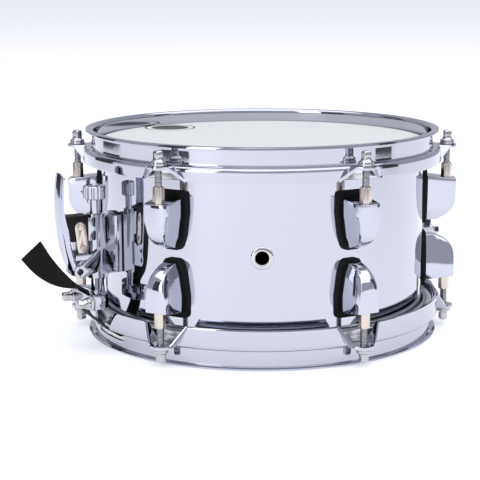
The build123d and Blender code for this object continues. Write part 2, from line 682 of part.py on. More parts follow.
def make_clamp_block():
    """The carrier on the spindle: a neck in the column's bore and a jaw for the strap."""
    jaw = block(
        (SHELL_RADIUS + CLAMP_IN, FACE_X), (-CLAMP_HALF, CLAMP_HALF), (CLAMP_LOW, CLAMP_HIGH)
    )
    jaw = chamfer(jaw.edges().filter_by(Axis.Z).group_by(Axis.X)[0], 6.0)
    neck = post(PISTON_RADIUS, CLAMP_HIGH - 4, NECK_TOP, AXIS_X)
    carrier = jaw + neck
    carrier -= post(SPINDLE_RADIUS + SLIDING_GAP, SPINDLE_FOOT - 2.5, DRUM_HEIGHT, AXIS_X)
    for y in (-CLAMP_SCREW_OFFSET, CLAMP_SCREW_OFFSET):
        carrier -= peg(KEY_SCREW_SHANK_RADIUS, FACE_X - 8, FACE_X + 1, y, clamp_screw_z())
    return carrier


def clamp_screw_z():
    return (CLAMP_LOW + CLAMP_HIGH) / 2 - 1.2


def clamp_plate(face_x, low, high, half, screw_z):
    """A pressed plate that squeezes the strap; the strap runs between its screws."""
    outer = face_x + CLAMP_PLATE
    plate = block((face_x, outer), (-half, half), (low, high))
    plate = chamfer(plate.edges().filter_by(Axis.X), 2.4)
    slot = STRAP_METAL + 2 * STRAP_GAP
    plate -= block(
        (face_x - 1, face_x + slot), (-STRAP_HALF - STRAP_GAP, STRAP_HALF + STRAP_GAP), (low - 1, high + 1)
    )
    for y in (-CLAMP_SCREW_OFFSET, CLAMP_SCREW_OFFSET):
        plate -= peg(KEY_SCREW_SHANK_RADIUS, face_x - 1, outer + 1, y, screw_z)
    return plate


def clamp_screws(face_x, screw_z):
    """Two drum-key screws through a clamp plate."""
    seat = face_x + CLAMP_PLATE
    screws = []
    for y in (-CLAMP_SCREW_OFFSET, CLAMP_SCREW_OFFSET):
        head = Pos(seat, y, screw_z) * Rot(0, 90, 0) * key_head(KEY_SCREW_FLANGE_RADIUS)
        screws.append(head + peg(KEY_SCREW_SHANK_RADIUS, face_x - 7.5, seat + 0.5, y, screw_z))
    return screws


# --- Butt -------------------------------------------------------------------------
def make_butt_body():
    """The fixed anchor on the far side, with a flat face for its clamp plate."""
    body = block((SHELL_RADIUS - 3, BUTT_X), (-BUTT_HALF, BUTT_HALF), (BUTT_LOW, BUTT_HIGH))
    body = chamfer(body.edges().filter_by(Axis.Y).group_by(Axis.X)[-1], 3.0)
    body -= post(SHELL_RADIUS, 0, DRUM_HEIGHT)
    for azimuth, y, z in mount_screw_places():
        if azimuth == BUTT_AZIMUTH:
            body -= peg(MOUNT_SCREW_RADIUS, SHELL_RADIUS - 4, SHELL_RADIUS + 8, y, z)
    for y in (-CLAMP_SCREW_OFFSET, CLAMP_SCREW_OFFSET):
        body -= peg(KEY_SCREW_SHANK_RADIUS, BUTT_X - 8, BUTT_X + 1, y, BUTT_SCREW_HEIGHT)
    return body


# --- Snares and straps ------------------------------------------------------------
WIRE_TOP = EDGE_LOW - HEAD_FILM - WIRE_TO_HEAD
PLATE_FOOT = WIRE_TOP - END_PLATE
STRAP_MIDDLE = PLATE_FOOT - STRAP_METAL / 2


# Stations of the strainer strap's free tail: out, z, lean and twist in degrees.
TAIL = [(None, 47.0, 0, 0), (34.5, 51.0, 66, 10), (48.0, 58.5, 55, 42), (59.0, 68.0, 43, 66), (68.0, 80.0, 36, 84)]


def strap(points, corner):
    """A flat ribbon along (x, z) points, with every corner rounded."""
    line = Plane.XZ * FilletPolyline(*points, radius=corner)
    across = Plane(origin=line @ 0, x_dir=(0, 1, 0), z_dir=line % 0)
    return sweep(across * Rectangle(2 * STRAP_HALF, STRAP_METAL), line)


def strap_tail(start_x):
    """The strap's loose end, which leans outwards and twists as it goes."""
    sections = []
    for out, z, lean, twist in TAIL:
        x = start_x if out is None else SHELL_RADIUS + out
        lean, twist = math.radians(lean), math.radians(twist)
        along = Vector(math.sin(lean), 0, math.cos(lean))
        down = Vector(math.cos(lean), 0, -math.sin(lean))
        wide = Vector(0, 1, 0) * math.cos(twist) + down * math.sin(twist)
        across = Plane(origin=(x, 0, z), x_dir=wide, z_dir=along)
        sections.append(across * Rectangle(2 * STRAP_HALF, STRAP_METAL))
    return loft(sections)


def strap_start():
    return WIRE_HALF_LENGTH - END_PLATE_LENGTH / 2


def make_strainer_strap():
    """From the snares, out through the gate, up through the clamp, with a free tail."""
    clamped = FACE_X + STRAP_GAP + STRAP_METAL / 2
    held = strap(
        [
            (strap_start(), STRAP_MIDDLE),
            (SHELL_RADIUS + 3, STRAP_MIDDLE),
            (clamped, CLAMP_LOW - 4),
            (clamped, TAIL[0][1]),
        ],
        3.0,
    )
    return held + strap_tail(clamped)


def make_butt_strap():
    clamped = BUTT_X + STRAP_GAP + STRAP_METAL / 2
    return strap(
        [
            (strap_start(), STRAP_MIDDLE),
            (SHELL_RADIUS + 3, STRAP_MIDDLE),
            (clamped, BUTT_LOW - 24),
            (clamped, BUTT_HIGH + 3),
        ],
        3.0,
    )


def make_snare_wires():
    """Coiled strands, made here as rods of the coils' outer diameter."""
    z = PLATE_FOOT - WIRE_RADIUS
    wires = []
    for i in range(WIRE_COUNT):
        y = (i - (WIRE_COUNT - 1) / 2) * WIRE_SPACING
        if abs(y) > STRAP_HALF + WIRE_RADIUS:
            half = WIRE_HALF_LENGTH
        else:
            half = strap_start() - 0.5
        wires.append(peg(WIRE_RADIUS, -half, half, y, z))
    return wires


def make_end_plate():
    return block(
        (WIRE_HALF_LENGTH - END_PLATE_LENGTH, WIRE_HALF_LENGTH),
        (-END_PLATE_HALF, END_PLATE_HALF),
        (PLATE_FOOT, WIRE_TOP),
    )


# --- Assembly ---------------------------------------------------------------------
def both_sides(shape):
    """Copies of a batter-side piece at every lug, on both sides of the drum."""
    upper = [around(shape, azimuth) for azimuth in LUG_AZIMUTHS]
    return upper + [mirrored_to_snare_side(piece) for piece in upper]


def build_nodes():
    at_strainer = {
        "strainer_body": make_strainer_body(),
        "strainer_pad": make_strainer_pad(),
        "stop_block": make_stop_block(),
        "stop_spacer": make_stop_carrier(),
        "stop_plate": make_stop_plate(),
        "stop_plate_screws": group(make_stop_plate_screws()),
        "throw_lever": make_lever(),
        "lever_arm": make_lever_arm(),
        "lever_pivot_pin": make_pivot_pin(),
        "lift_piston": make_piston(),
        "adjust_knob": make_knob(),
        "adjust_spindle": make_spindle(),
        "strainer_clamp_block": make_clamp_block(),
        "strainer_clamp_plate": clamp_plate(
            FACE_X, CLAMP_LOW - 1, CLAMP_HIGH - 0.6, CLAMP_HALF, clamp_screw_z()
        ),
        "strainer_clamp_screws": group(clamp_screws(FACE_X, clamp_screw_z())),
        "strainer_strap": make_strainer_strap(),
    }
    at_butt = {
        "butt_body": make_butt_body(),
        "butt_clamp_plate": clamp_plate(
            BUTT_X, BUTT_SCREW_HEIGHT - 6.5, BUTT_SCREW_HEIGHT + 6.5, CLAMP_HALF, BUTT_SCREW_HEIGHT
        ),
        "butt_clamp_screws": group(clamp_screws(BUTT_X, BUTT_SCREW_HEIGHT)),
        "butt_strap": make_butt_strap(),
    }
    nodes = {name: around(shape, STRAINER_AZIMUTH) for name, shape in at_strainer.items()}
    nodes |= {name: around(shape, BUTT_AZIMUTH) for name, shape in at_butt.items()}

    gates = (STRAINER_AZIMUTH, BUTT_AZIMUTH)
    nodes["batter_hoop"] = Pos(0, 0, DRUM_HEIGHT) * make_hoop(BATTER_SKIRT_DROP, ())
    nodes["snare_hoop"] = mirror(make_hoop(SNARE_SKIRT_DROP, gates), Plane.XY)
    nodes["batter_head_film"] = make_head_film()
    nodes["snare_head_film"] = mirrored_to_snare_side(nodes["batter_head_film"])
    nodes["batter_head_ring"] = make_head_ring()
    nodes["snare_head_ring"] = mirrored_to_snare_side(nodes["batter_head_ring"])
    nodes["shell"] = make_shell()
    nodes["vent_grommet"] = make_vent_grommet()

    pairs = {"lug": make_lug(), "rod": make_rod()}
    for kind, shape in pairs.items():
        for i, azimuth in enumerate(LUG_AZIMUTHS, start=1):
            upper = around(shape, azimuth)
            nodes[f"batter_{kind}_{i}"] = upper
            nodes[f"snare_{kind}_{i}"] = mirrored_to_snare_side(upper)
    nodes["lug_gaskets"] = group(both_sides(make_gasket()))
    nodes["swivel_nuts"] = group(both_sides(make_swivel_nut()))
    nodes["rod_washers"] = group(both_sides(make_rod_washer()))
    nodes["lug_screws"] = group([around(lug_screw(z), a) for a, z in lug_screw_places()])
    nodes["lug_screw_washers"] = group([around(lug_screw_washer(z), a) for a, z in lug_screw_places()])
    mount_screws = []
    for azimuth, y, z in mount_screw_places():
        mount_screws.append(around(inside_screw(MOUNT_SCREW_RADIUS, SHELL_RADIUS + 7, y, z), azimuth))
        washer = inside_washer(SCREW_HEAD_RADIUS + 1, MOUNT_SCREW_RADIUS, y, z)
        mount_screws.append(around(washer, azimuth))
    nodes["mounting_screws"] = group(mount_screws)

    nodes["snare_wires"] = group([around(wire, STRAINER_AZIMUTH) for wire in make_snare_wires()])
    plates = [around(make_end_plate(), azimuth) for azimuth in gates]
    nodes["snare_end_plates"] = group(plates)
    return nodes


def main():
    os.makedirs("parts", exist_ok=True)
    for name, shape in build_nodes().items():
        export_step(shape, f"parts/{name}.step")


main()
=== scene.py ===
# A ten-inch chromed-steel snare drum standing on its snare-side hoop, with its
# strainer and throw lever at -X and its butt at +X. Lengths are in metres.
import math

import bmesh
import bpy
from mathutils import Matrix, Vector


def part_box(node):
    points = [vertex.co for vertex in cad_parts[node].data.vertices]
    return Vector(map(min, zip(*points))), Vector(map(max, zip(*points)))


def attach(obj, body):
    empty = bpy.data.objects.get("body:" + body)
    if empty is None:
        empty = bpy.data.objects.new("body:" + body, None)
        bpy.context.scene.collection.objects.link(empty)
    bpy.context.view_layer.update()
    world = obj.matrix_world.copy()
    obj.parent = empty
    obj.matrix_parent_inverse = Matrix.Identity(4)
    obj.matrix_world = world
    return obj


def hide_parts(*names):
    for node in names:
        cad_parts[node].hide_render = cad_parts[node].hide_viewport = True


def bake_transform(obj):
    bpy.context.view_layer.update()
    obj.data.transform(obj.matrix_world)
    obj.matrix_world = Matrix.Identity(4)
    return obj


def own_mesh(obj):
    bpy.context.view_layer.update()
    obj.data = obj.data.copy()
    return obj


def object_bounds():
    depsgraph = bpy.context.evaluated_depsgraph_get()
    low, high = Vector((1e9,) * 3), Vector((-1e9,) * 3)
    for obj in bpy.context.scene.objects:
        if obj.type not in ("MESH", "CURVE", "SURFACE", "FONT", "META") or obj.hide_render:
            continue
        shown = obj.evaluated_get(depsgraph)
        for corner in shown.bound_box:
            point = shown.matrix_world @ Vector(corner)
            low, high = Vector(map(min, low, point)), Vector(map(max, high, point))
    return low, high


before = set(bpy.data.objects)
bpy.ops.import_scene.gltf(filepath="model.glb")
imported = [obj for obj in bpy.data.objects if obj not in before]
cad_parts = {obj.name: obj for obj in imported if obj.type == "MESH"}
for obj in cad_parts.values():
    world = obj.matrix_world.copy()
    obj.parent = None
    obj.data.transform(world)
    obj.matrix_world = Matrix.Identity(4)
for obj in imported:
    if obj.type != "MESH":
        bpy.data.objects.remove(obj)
cad_low, cad_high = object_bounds()


# --- Studio -----------------------------------------------------------------------
# The drum stands on a pale, seamless table under one wide overhead softbox. A tall
# light panel and three black flags stand round it, for its chrome to mirror. The table
# is clear from below, so that the underside can be looked at.
def linked(name, data):
    obj = bpy.data.objects.new(name, data)
    bpy.context.scene.collection.objects.link(obj)
    return obj


def plain_material(name, colour, roughness):
    material = bpy.data.materials.new(name)
    material.use_nodes = True
    shader = material.node_tree.nodes["Principled BSDF"]
    shader.inputs["Base Color"].default_value = (*colour, 1.0)
    shader.inputs["Roughness"].default_value = roughness
    return material, shader


def card(name, centre, facing, width, height, material):
    """A flat panel of studio kit, whose face looks along facing."""
    turn = Vector(facing).to_track_quat("Z", "Y").to_matrix().to_4x4()
    corners = [(-0.5, -0.5), (0.5, -0.5), (0.5, 0.5), (-0.5, 0.5)]
    mesh = bpy.data.meshes.new(name)
    mesh.from_pydata([(x * width, y * height, 0) for x, y in corners], [], [(0, 1, 2, 3)])
    mesh.transform(Matrix.Translation(centre) @ turn)
    mesh.materials.append(material)
    panel = linked(name, mesh)
    return panel


table_top, paper = plain_material("pale_table", (0.80, 0.80, 0.82), 0.7)
paper.inputs["Emission Color"].default_value = (0.96, 0.97, 1.0, 1)
paper.inputs["Emission Strength"].default_value = 0.42
from_below = table_top.node_tree.nodes.new("ShaderNodeNewGeometry")
clear = table_top.node_tree.nodes.new("ShaderNodeBsdfTransparent")
one_sided = table_top.node_tree.nodes.new("ShaderNodeMixShader")
table_out = table_top.node_tree.nodes["Material Output"]
table_top.node_tree.links.new(from_below.outputs["Backfacing"], one_sided.inputs[0])
table_top.node_tree.links.new(paper.outputs[0], one_sided.inputs[1])
table_top.node_tree.links.new(clear.outputs[0], one_sided.inputs[2])
table_top.node_tree.links.new(one_sided.outputs[0], table_out.inputs["Surface"])
card("table_top", (0, 0, cad_low.z), (0, 0, 1), 60, 60, table_top)
black_flag, _ = plain_material("black_flag", (0.05, 0.05, 0.055), 0.9)
for flag, centre, facing, width, height in (
    ("left_flag", (-1.20, -0.10, 0.45), (1, 0.1, 0), 0.42, 0.9),
    ("right_flag", (0.95, -0.75, 0.45), (-1, 0.8, 0), 0.30, 0.9),
    ("rear_flag", (-0.75, 1.00, 0.45), (0.6, -1, 0), 0.50, 0.9),
):
    card(flag, centre, facing, width, height, black_flag).visible_camera = False

world = bpy.data.worlds.new("studio_air")
world.use_nodes = True
air = world.node_tree.nodes["Background"]
air.inputs["Color"].default_value = (0.80, 0.82, 0.92, 1)
air.inputs["Strength"].default_value = 0.62
backdrop = world.node_tree.nodes.new("ShaderNodeBackground")
backdrop.inputs["Color"].default_value = (1, 1, 1, 1)
lit_backdrop = world.node_tree.nodes.new("ShaderNodeMixShader")
seen_straight = world.node_tree.nodes.new("ShaderNodeLightPath")
sky = world.node_tree.nodes["World Output"]
world.node_tree.links.new(seen_straight.outputs["Is Camera Ray"], lit_backdrop.inputs[0])
world.node_tree.links.new(air.outputs[0], lit_backdrop.inputs[1])
world.node_tree.links.new(backdrop.outputs[0], lit_backdrop.inputs[2])
world.node_tree.links.new(lit_backdrop.outputs[0], sky.inputs["Surface"])
bpy.context.scene.world = world


def softbox(name, location, target, size, watts, colour=(1, 1, 1)):
    light = bpy.data.lights.new(name, "AREA")
    light.shape = "RECTANGLE"
    light.size, light.size_y = size
    light.energy = watts
    light.color = colour
    lamp = linked(name, light)
    lamp.location = location
    lamp.rotation_mode = "QUATERNION"
    lamp.rotation_quaternion = (Vector(target) - Vector(location)).to_track_quat("-Z", "Y")
    return lamp


softbox("overhead_box", (0.0, -0.6, 3.0), (0, 0, 0), (5.5, 5.5), 130)
softbox("left_panel", (-2.2, -0.9, 0.9), (0, 0, 0.1), (0.9, 1.8), 12, (0.95, 0.96, 1.0))

lens = bpy.data.cameras.new("camera")
lens.sensor_width = 36.0
lens.lens = 105.34
lens.shift_x = -0.0462
camera = linked("camera", lens)
camera.location = (-0.55106, -0.95446, 0.28397)
down = 0.193
camera.rotation_mode = "QUATERNION"
camera.rotation_quaternion = Vector(
    (0.5 * math.cos(down), math.sin(math.radians(60)) * math.cos(down), -math.sin(down))
).to_track_quat("-Z", "Y")
bpy.context.scene.camera = camera
bpy.context.scene.view_settings.view_transform = "Standard"


# --- Shell ------------------------------------------------------------------------
# A tube of chromed steel, rolled and welded, with each bearing edge turned in. Its
# surface is a grid wrapped round the axis by a rule, then given the metal's gauge.
class Tree:
    """A Geometry Nodes tree being wired up, with short calls for its nodes."""

    def __init__(self, name):
        self.group = bpy.data.node_groups.new(name, "GeometryNodeTree")
        self.group.interface.new_socket("Geometry", in_out="OUTPUT", socket_type="NodeSocketGeometry")
        self.group.interface.new_socket("Geometry", in_out="INPUT", socket_type="NodeSocketGeometry")
        self.source = self.group.nodes.new("NodeGroupInput")
        self.result = self.group.nodes.new("NodeGroupOutput")

    def size(self, name, kind="NodeSocketFloat"):
        self.group.interface.new_socket(name, in_out="INPUT", socket_type=kind)
        return self.source.outputs[name]

    def node(self, kind, inputs=None, **settings):
        node = self.group.nodes.new(kind)
        for key, value in settings.items():
            setattr(node, key, value)
        for key, value in (inputs or {}).items():
            if isinstance(value, bpy.types.NodeSocket):
                self.group.links.new(value, node.inputs[key])
            else:
                node.inputs[key].default_value = value
        return node

    def maths(self, operation, *values):
        node = self.node("ShaderNodeMath", dict(enumerate(values)), operation=operation)
        return node.outputs[0]

    def finish(self, geometry, material):
        real = self.node("GeometryNodeRealizeInstances", {"Geometry": geometry})
        painted = self.node("GeometryNodeSetMaterial", {"Geometry": real.outputs[0], "Material": material})
        self.group.links.new(painted.outputs[0], self.result.inputs[0])

    def grow(self, name, sizes, seed=None):
        """Runs the tree on the seed mesh and returns the result as a plain mesh object."""
        mesh = seed or bpy.data.meshes.new(name + "_seed")
        host = linked(name + "_host", mesh)
        modifier = host.modifiers.new("grow", "NODES")
        modifier.node_group = self.group
        for item in self.group.interface.items_tree:
            if item.in_out == "INPUT" and item.name in sizes:
                modifier[item.identifier] = sizes[item.name]
        bpy.context.view_layer.update()
        evaluated = host.evaluated_get(bpy.context.evaluated_depsgraph_get())
        grown = bpy.data.meshes.new_from_object(evaluated)
        grown.name = name
        bpy.data.objects.remove(host)
        return linked(name, grown)


def shade(obj, angle=35):
    """Smooth shading, with edges sharper than the angle kept crisp."""
    obj.data.shade_smooth()
    obj.data.set_sharp_from_angle(angle=math.radians(angle))
    return obj


def mirror_chrome(name, tint, polish, smudge=0.05):
    """Chrome plate: a mirror with faint smudges, and the slight ripple of the metal under it."""
    material, shader = plain_material(name, tint, polish)
    shader.inputs["Metallic"].default_value = 1.0
    tree = material.node_tree
    place = tree.nodes.new("ShaderNodeTexCoord")
    cloud = tree.nodes.new("ShaderNodeTexNoise")
    cloud.inputs["Scale"].default_value = 45
    cloud.inputs["Detail"].default_value = 6
    ramp = tree.nodes.new("ShaderNodeMapRange")
    ramp.inputs["From Min"].default_value = 0.35
    ramp.inputs["From Max"].default_value = 0.75
    ramp.inputs["To Min"].default_value = polish
    ramp.inputs["To Max"].default_value = polish + smudge
    ripple = tree.nodes.new("ShaderNodeTexNoise")
    ripple.inputs["Scale"].default_value = 160
    ripple.inputs["Detail"].default_value = 1
    bump = tree.nodes.new("ShaderNodeBump")
    bump.inputs["Strength"].default_value = 0.035
    bump.inputs["Distance"].default_value = 0.0004
    tree.links.new(place.outputs["Object"], cloud.inputs["Vector"])
    tree.links.new(place.outputs["Object"], ripple.inputs["Vector"])
    tree.links.new(cloud.outputs["Fac"], ramp.inputs["Value"])
    tree.links.new(ramp.outputs["Result"], shader.inputs["Roughness"])
    tree.links.new(ripple.outputs["Fac"], bump.inputs["Height"])
    tree.links.new(bump.outputs["Normal"], shader.inputs["Normal"])
    return material


shell_chrome = mirror_chrome("shell_chrome", (0.52, 0.53, 0.59), 0.03)
SHELL_RADIUS = 0.127
SHELL_GAUGE = 0.0012
shell_low, shell_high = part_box("shell")

rule = Tree("wrapped_shell")
radius = rule.size("Radius")
foot = rule.size("Foot")
depth = rule.size("Depth")
turn_in = rule.size("Edge turn")
grid = rule.node(
    "GeometryNodeMeshGrid",
    {"Size X": 1.0, "Size Y": 1.0, "Vertices X": 361, "Vertices Y": 81},
)
here = rule.node("ShaderNodeSeparateXYZ", {0: rule.node("GeometryNodeInputPosition").outputs[0]})
angle = rule.maths("MULTIPLY", rule.maths("ADD", here.outputs["X"], 0.5), math.tau)
out_of_middle = rule.maths("ABSOLUTE", here.outputs["Y"])
near_edge = rule.maths("MAXIMUM", rule.maths("SUBTRACT", out_of_middle, 0.4715), 0.0)
turned = rule.maths("MULTIPLY", rule.maths("POWER", rule.maths("MULTIPLY", near_edge, 35.0), 2.0), turn_in)
ring_radius = rule.maths("SUBTRACT", radius, turned)
height = rule.maths("ADD", foot, rule.maths("MULTIPLY", rule.maths("ADD", here.outputs["Y"], 0.5), depth))
wrapped = rule.node(
    "ShaderNodeCombineXYZ",
    {
        "X": rule.maths("MULTIPLY", ring_radius, rule.maths("COSINE", angle)),
        "Y": rule.maths("MULTIPLY", ring_radius, rule.maths("SINE", angle)),
        "Z": height,
    },
)
bent = rule.node(
    "GeometryNodeSetPosition",
    {"Geometry": grid.outputs["Mesh"], "Position": wrapped.outputs[0]},
)
welded = rule.node("GeometryNodeMergeByDistance", {"Geometry": bent.outputs[0], "Distance": 1e-6})
rule.finish(welded.outputs[0], shell_chrome)
shell = rule.grow(
    "shell_tube",
    {"Radius": SHELL_RADIUS, "Foot": shell_low.z, "Depth": shell_high.z - shell_low.z, "Edge turn": 0.004},
)


def thicken(obj, gauge, offset):
    solid = obj.modifiers.new("gauge", "SOLIDIFY")
    solid.thickness = gauge
    solid.offset = offset
    solid.use_even_offset = True
    return solid


def apply_all(obj):
    """Turns an object's modifiers into its mesh."""
    bpy.context.view_layer.update()
    evaluated = obj.evaluated_get(bpy.context.evaluated_depsgraph_get())
    mesh = bpy.data.meshes.new_from_object(evaluated)
    obj.modifiers.clear()
    obj.data = mesh
    return obj


def outward(obj):
    """Turns every face of a closed mesh outwards."""
    work = bmesh.new()
    work.from_mesh(obj.data)
    bmesh.ops.remove_doubles(work, verts=work.verts, dist=1e-7)
    bmesh.ops.recalc_face_normals(work, faces=work.faces)
    work.to_mesh(obj.data)
    work.free()
    return obj


def fitted(obj, body, slot, *nodes):
    """The piece rides on a body and stands for CAD nodes, which it hides; its slot is not used."""
    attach(obj, body)
    if nodes:
        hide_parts(*nodes)
    return obj


def clear_of_vent(obj, azimuth, reach):
    """Opens the shell's wall round the vent."""
    waist = (shell_low.z + shell_high.z) / 2
    centre = Vector((SHELL_RADIUS * math.cos(azimuth), SHELL_RADIUS * math.sin(azimuth), waist))
    work = bmesh.new()
    work.from_mesh(obj.data)
    inside = [f for f in work.faces if (f.calc_center_median() - centre).length < reach]
    bmesh.ops.delete(work, geom=inside, context="FACES")
    work.to_mesh(obj.data)
    work.free()


VENT_AZIMUTH = math.radians(240)
clear_of_vent(shell, VENT_AZIMUTH, 0.0062)
thicken(shell, SHELL_GAUGE, -1)
apply_all(shell)
shade(outward(shell), 40)
fitted(shell, "drum", "shell_chrome", "shell")


# --- Vent grommet -------------------------------------------------------------------
# A chromed brass eyelet, clinched through the shell to let its air out. Its flange is
# rolled over, and it follows the shell's curve.
def lathed(name, profile, steps, material, closed=True):
    """A ring turned round Z from (radius, height) points."""
    points = len(profile)
    verts = []
    for i in range(steps):
        a = math.tau * i / steps
        verts += [(r * math.cos(a), r * math.sin(a), z) for r, z in profile]
    faces = []
    for i in range(steps):
        for j in range(points if closed else points - 1):
            k, m = (i + 1) % steps, (j + 1) % points
            faces.append((i * points + j, k * points + j, k * points + m, i * points + m))
    mesh = bpy.data.meshes.new(name)
    mesh.from_pydata(verts, [], faces)
    mesh.materials.append(material)
    return outward(linked(name, mesh))


def out_from_drum(azimuth):
    """The turn that points a piece's local X out of the drum."""
    return Matrix.Rotation(azimuth, 4, "Z")


trim_chrome = mirror_chrome("trim_chrome", (0.56, 0.55, 0.56), 0.05)
eyelet_profile = [
    (0.00490, -0.0018), (0.00490, 0.0004), (0.00520, 0.00078), (0.00565, 0.00090), (0.00620, 0.00088),
    (0.00720, 0.00070), (0.00800, 0.00042), (0.00830, 0.00010), (0.00825, -0.0002), (0.00560, -0.0004),
    (0.00560, -0.0016), (0.00720, -0.0017), (0.00715, -0.0020), (0.00540, -0.0021),
]
vent = lathed("vent_eyelet", eyelet_profile, 64, trim_chrome)
vent.data.transform(Matrix.Rotation(math.radians(90), 4, "Y"))
for vertex in vent.data.vertices:
    vertex.co.x += SHELL_RADIUS * math.cos(vertex.co.y / SHELL_RADIUS)
vent.data.transform(Matrix.Translation((0, 0, (shell_low.z + shell_high.z) / 2)))
vent.data.transform(out_from_drum(VENT_AZIMUTH))
fitted(shade(vent, 50), "drum", "trim_chrome", "vent_grommet")


# --- Hoops --------------------------------------------------------------------------
# Each triple-flanged hoop is pressed from one strip of steel and chromed: an outward
# lip, a wall, a shoulder on the head's ring and a skirt, folded out to an ear at each
# rod. The snare-side hoop has a gate for the snares at each end of their line.
hoop_chrome = mirror_chrome("hoop_chrome", (0.50, 0.51, 0.57), 0.035)
HOOP_GAUGE = 0.0022
WALL_MIDDLE = 0.1329
SKIRT_MIDDLE = 0.1391
SHOULDER_MIDDLE = 0.0153  # below the rim
ROD_CIRCLE = 0.1458
EAR_FLAT, EAR_FOOT = 0.0072, 0.0178
EAR_ROUND = 0.0076
LUG_AZIMUTHS = [math.radians(30 + 60 * i) for i in range(6)]
GATE_HALF, NOTCH_HALF, NOTCH_TOP = 0.0212, 0.0115, 0.0202
GATE_SILL = 0.0076


def arc(centre, radius, start, end, steps):
    """Points on an arc in the (radius, depth) plane, from one angle to another in degrees."""
    turns = [math.radians(start + (end - start) * i / steps) for i in range(steps + 1)]
    return [(centre[0] + radius * math.cos(t), centre[1] + radius * math.sin(t)) for t in turns]


def eased(t):
    t = min(1.0, max(0.0, t))
    return t * t * (3 - 2 * t)


def ear_fold(side, skirt):
    """How far below the rim an ear's sheet lies, at a distance to the side of the rod."""
    slope = (abs(side) - EAR_FLAT) / (EAR_FOOT - EAR_FLAT)
    if slope <= 0:
        return SHOULDER_MIDDLE
    soft = slope * slope / 0.24 if slope < 0.12 else slope - 0.06
    return SHOULDER_MIDDLE + (skirt - SHOULDER_MIDDLE) * min(1.0, soft / 0.94)


def ear_reach(side):
    """The radius of an ear's outer edge."""
    side = abs(side)
    if side < EAR_ROUND * 0.94:
        return ROD_CIRCLE + math.sqrt(EAR_ROUND**2 - side**2)
    return max(SKIRT_MIDDLE + 0.0004, ROD_CIRCLE + 0.0026 - (side - EAR_ROUND * 0.94) * 0.86)


def pressed_hoop(name, rim, direction, skirt, gates):
    """The sheet of a hoop as a grid of columns round the drum; direction is -1 below the rim."""
    lip_end = [(0.13745, 0.0019), (0.1373, 0.0013)]
    roll = arc((WALL_MIDDLE + 0.0015, 0.0026), 0.0015, 270, 180, 5)
    wall = [(WALL_MIDDLE, 0.0045), (WALL_MIDDLE, GATE_SILL), (WALL_MIDDLE, 0.0100), (WALL_MIDDLE, 0.0122)]
    root = arc((WALL_MIDDLE + 0.0016, SHOULDER_MIDDLE - 0.0016), 0.0016, 180, 90, 5)
    fixed = lip_end + [(0.1360, 0.0011)] + roll + wall + root + [(0.1364, SHOULDER_MIDDLE)]
    bend, fall, reach = 5, 6, 7
    columns = 1080
    rows = len(fixed) + bend + fall + reach
    verts, keep = [], []
    for i in range(columns):
        a = math.tau * i / columns
        near = min(LUG_AZIMUTHS, key=lambda lug: abs(math.remainder(a - lug, math.tau)))
        side = SKIRT_MIDDLE * math.sin(math.remainder(a - near, math.tau))
        gate = min((abs(math.remainder(a - g, math.tau)) for g in gates), default=9.0)
        gate = WALL_MIDDLE * math.sin(min(gate, 1.5))
        at_ear = abs(side) < EAR_FOOT
        bottom = ear_fold(side, skirt) if at_ear else skirt
        if gate < NOTCH_TOP:
            share = (gate - NOTCH_HALF) / (NOTCH_TOP - NOTCH_HALF)
            bottom = SHOULDER_MIDDLE + 0.0018 + (skirt - SHOULDER_MIDDLE - 0.0018) * eased(share) ** 0.8
        line = list(fixed)
        for j in range(1, bend + 1):
            t = math.radians(90 * j / bend)
            drop = min(0.0020 * (1 - math.cos(t)), bottom - SHOULDER_MIDDLE)
            line.append((SKIRT_MIDDLE - 0.0020 * (1 - math.sin(t)), SHOULDER_MIDDLE + drop))
        start = line[-1][1]
        line += [(SKIRT_MIDDLE, start + (bottom - start) * j / fall) for j in range(1, fall + 1)]
        end = ear_reach(side) if at_ear else SKIRT_MIDDLE + 0.0004
        line += [(SKIRT_MIDDLE + (end - SKIRT_MIDDLE) * j / reach, bottom) for j in range(1, reach + 1)]
        verts += [(r * math.cos(a), r * math.sin(a), rim + direction * d) for r, d in line]
        sill, root_end = len(lip_end) + 1 + len(roll) + 1, len(fixed) - 5
        for j in range(rows - 1):
            flange = j >= len(fixed) + bend + fall - 1
            cut = gate < NOTCH_HALF and j >= sill or gate < GATE_HALF and sill <= j < root_end
            keep.append(not cut and not (flange and not at_ear))
    faces = []
    for i in range(columns):
        k = (i + 1) % columns
        for j in range(rows - 1):
            if keep[i * (rows - 1) + j] and keep[k * (rows - 1) + j]:
                faces.append((i * rows + j, k * rows + j, k * rows + j + 1, i * rows + j + 1))
    mesh = bpy.data.meshes.new(name)
    mesh.from_pydata(verts, [], faces)
    mesh.materials.append(hoop_chrome)
    hoop = linked(name, mesh)
    work = bmesh.new()
    work.from_mesh(mesh)
    bmesh.ops.remove_doubles(work, verts=work.verts, dist=1e-5)
    loose = [v for v in work.verts if not v.link_faces]
    bmesh.ops.delete(work, geom=loose, context="VERTS")
    bmesh.ops.recalc_face_normals(work, faces=work.faces)
    work.to_mesh(mesh)
    work.free()
    thicken(hoop, HOOP_GAUGE, 0)
    soften = hoop.modifiers.new("soft_edges", "BEVEL")
    soften.width = 0.0005
    soften.segments = 2
    soften.limit_method = "ANGLE"
    soften.angle_limit = math.radians(55)
    apply_all(hoop)
    return shade(hoop, 50)


batter_low, batter_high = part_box("batter_hoop")
snare_low, snare_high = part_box("snare_hoop")
batter_hoop = pressed_hoop("batter_hoop_pressing", batter_high.z, -1, batter_high.z - batter_low.z, [])
fitted(batter_hoop, "drum", "hoop_chrome", "batter_hoop")
snare_hoop = pressed_hoop("snare_hoop_pressing", snare_low.z, 1, snare_high.z - snare_low.z, [0, math.pi])
fitted(snare_hoop, "drum", "hoop_chrome", "snare_hoop")


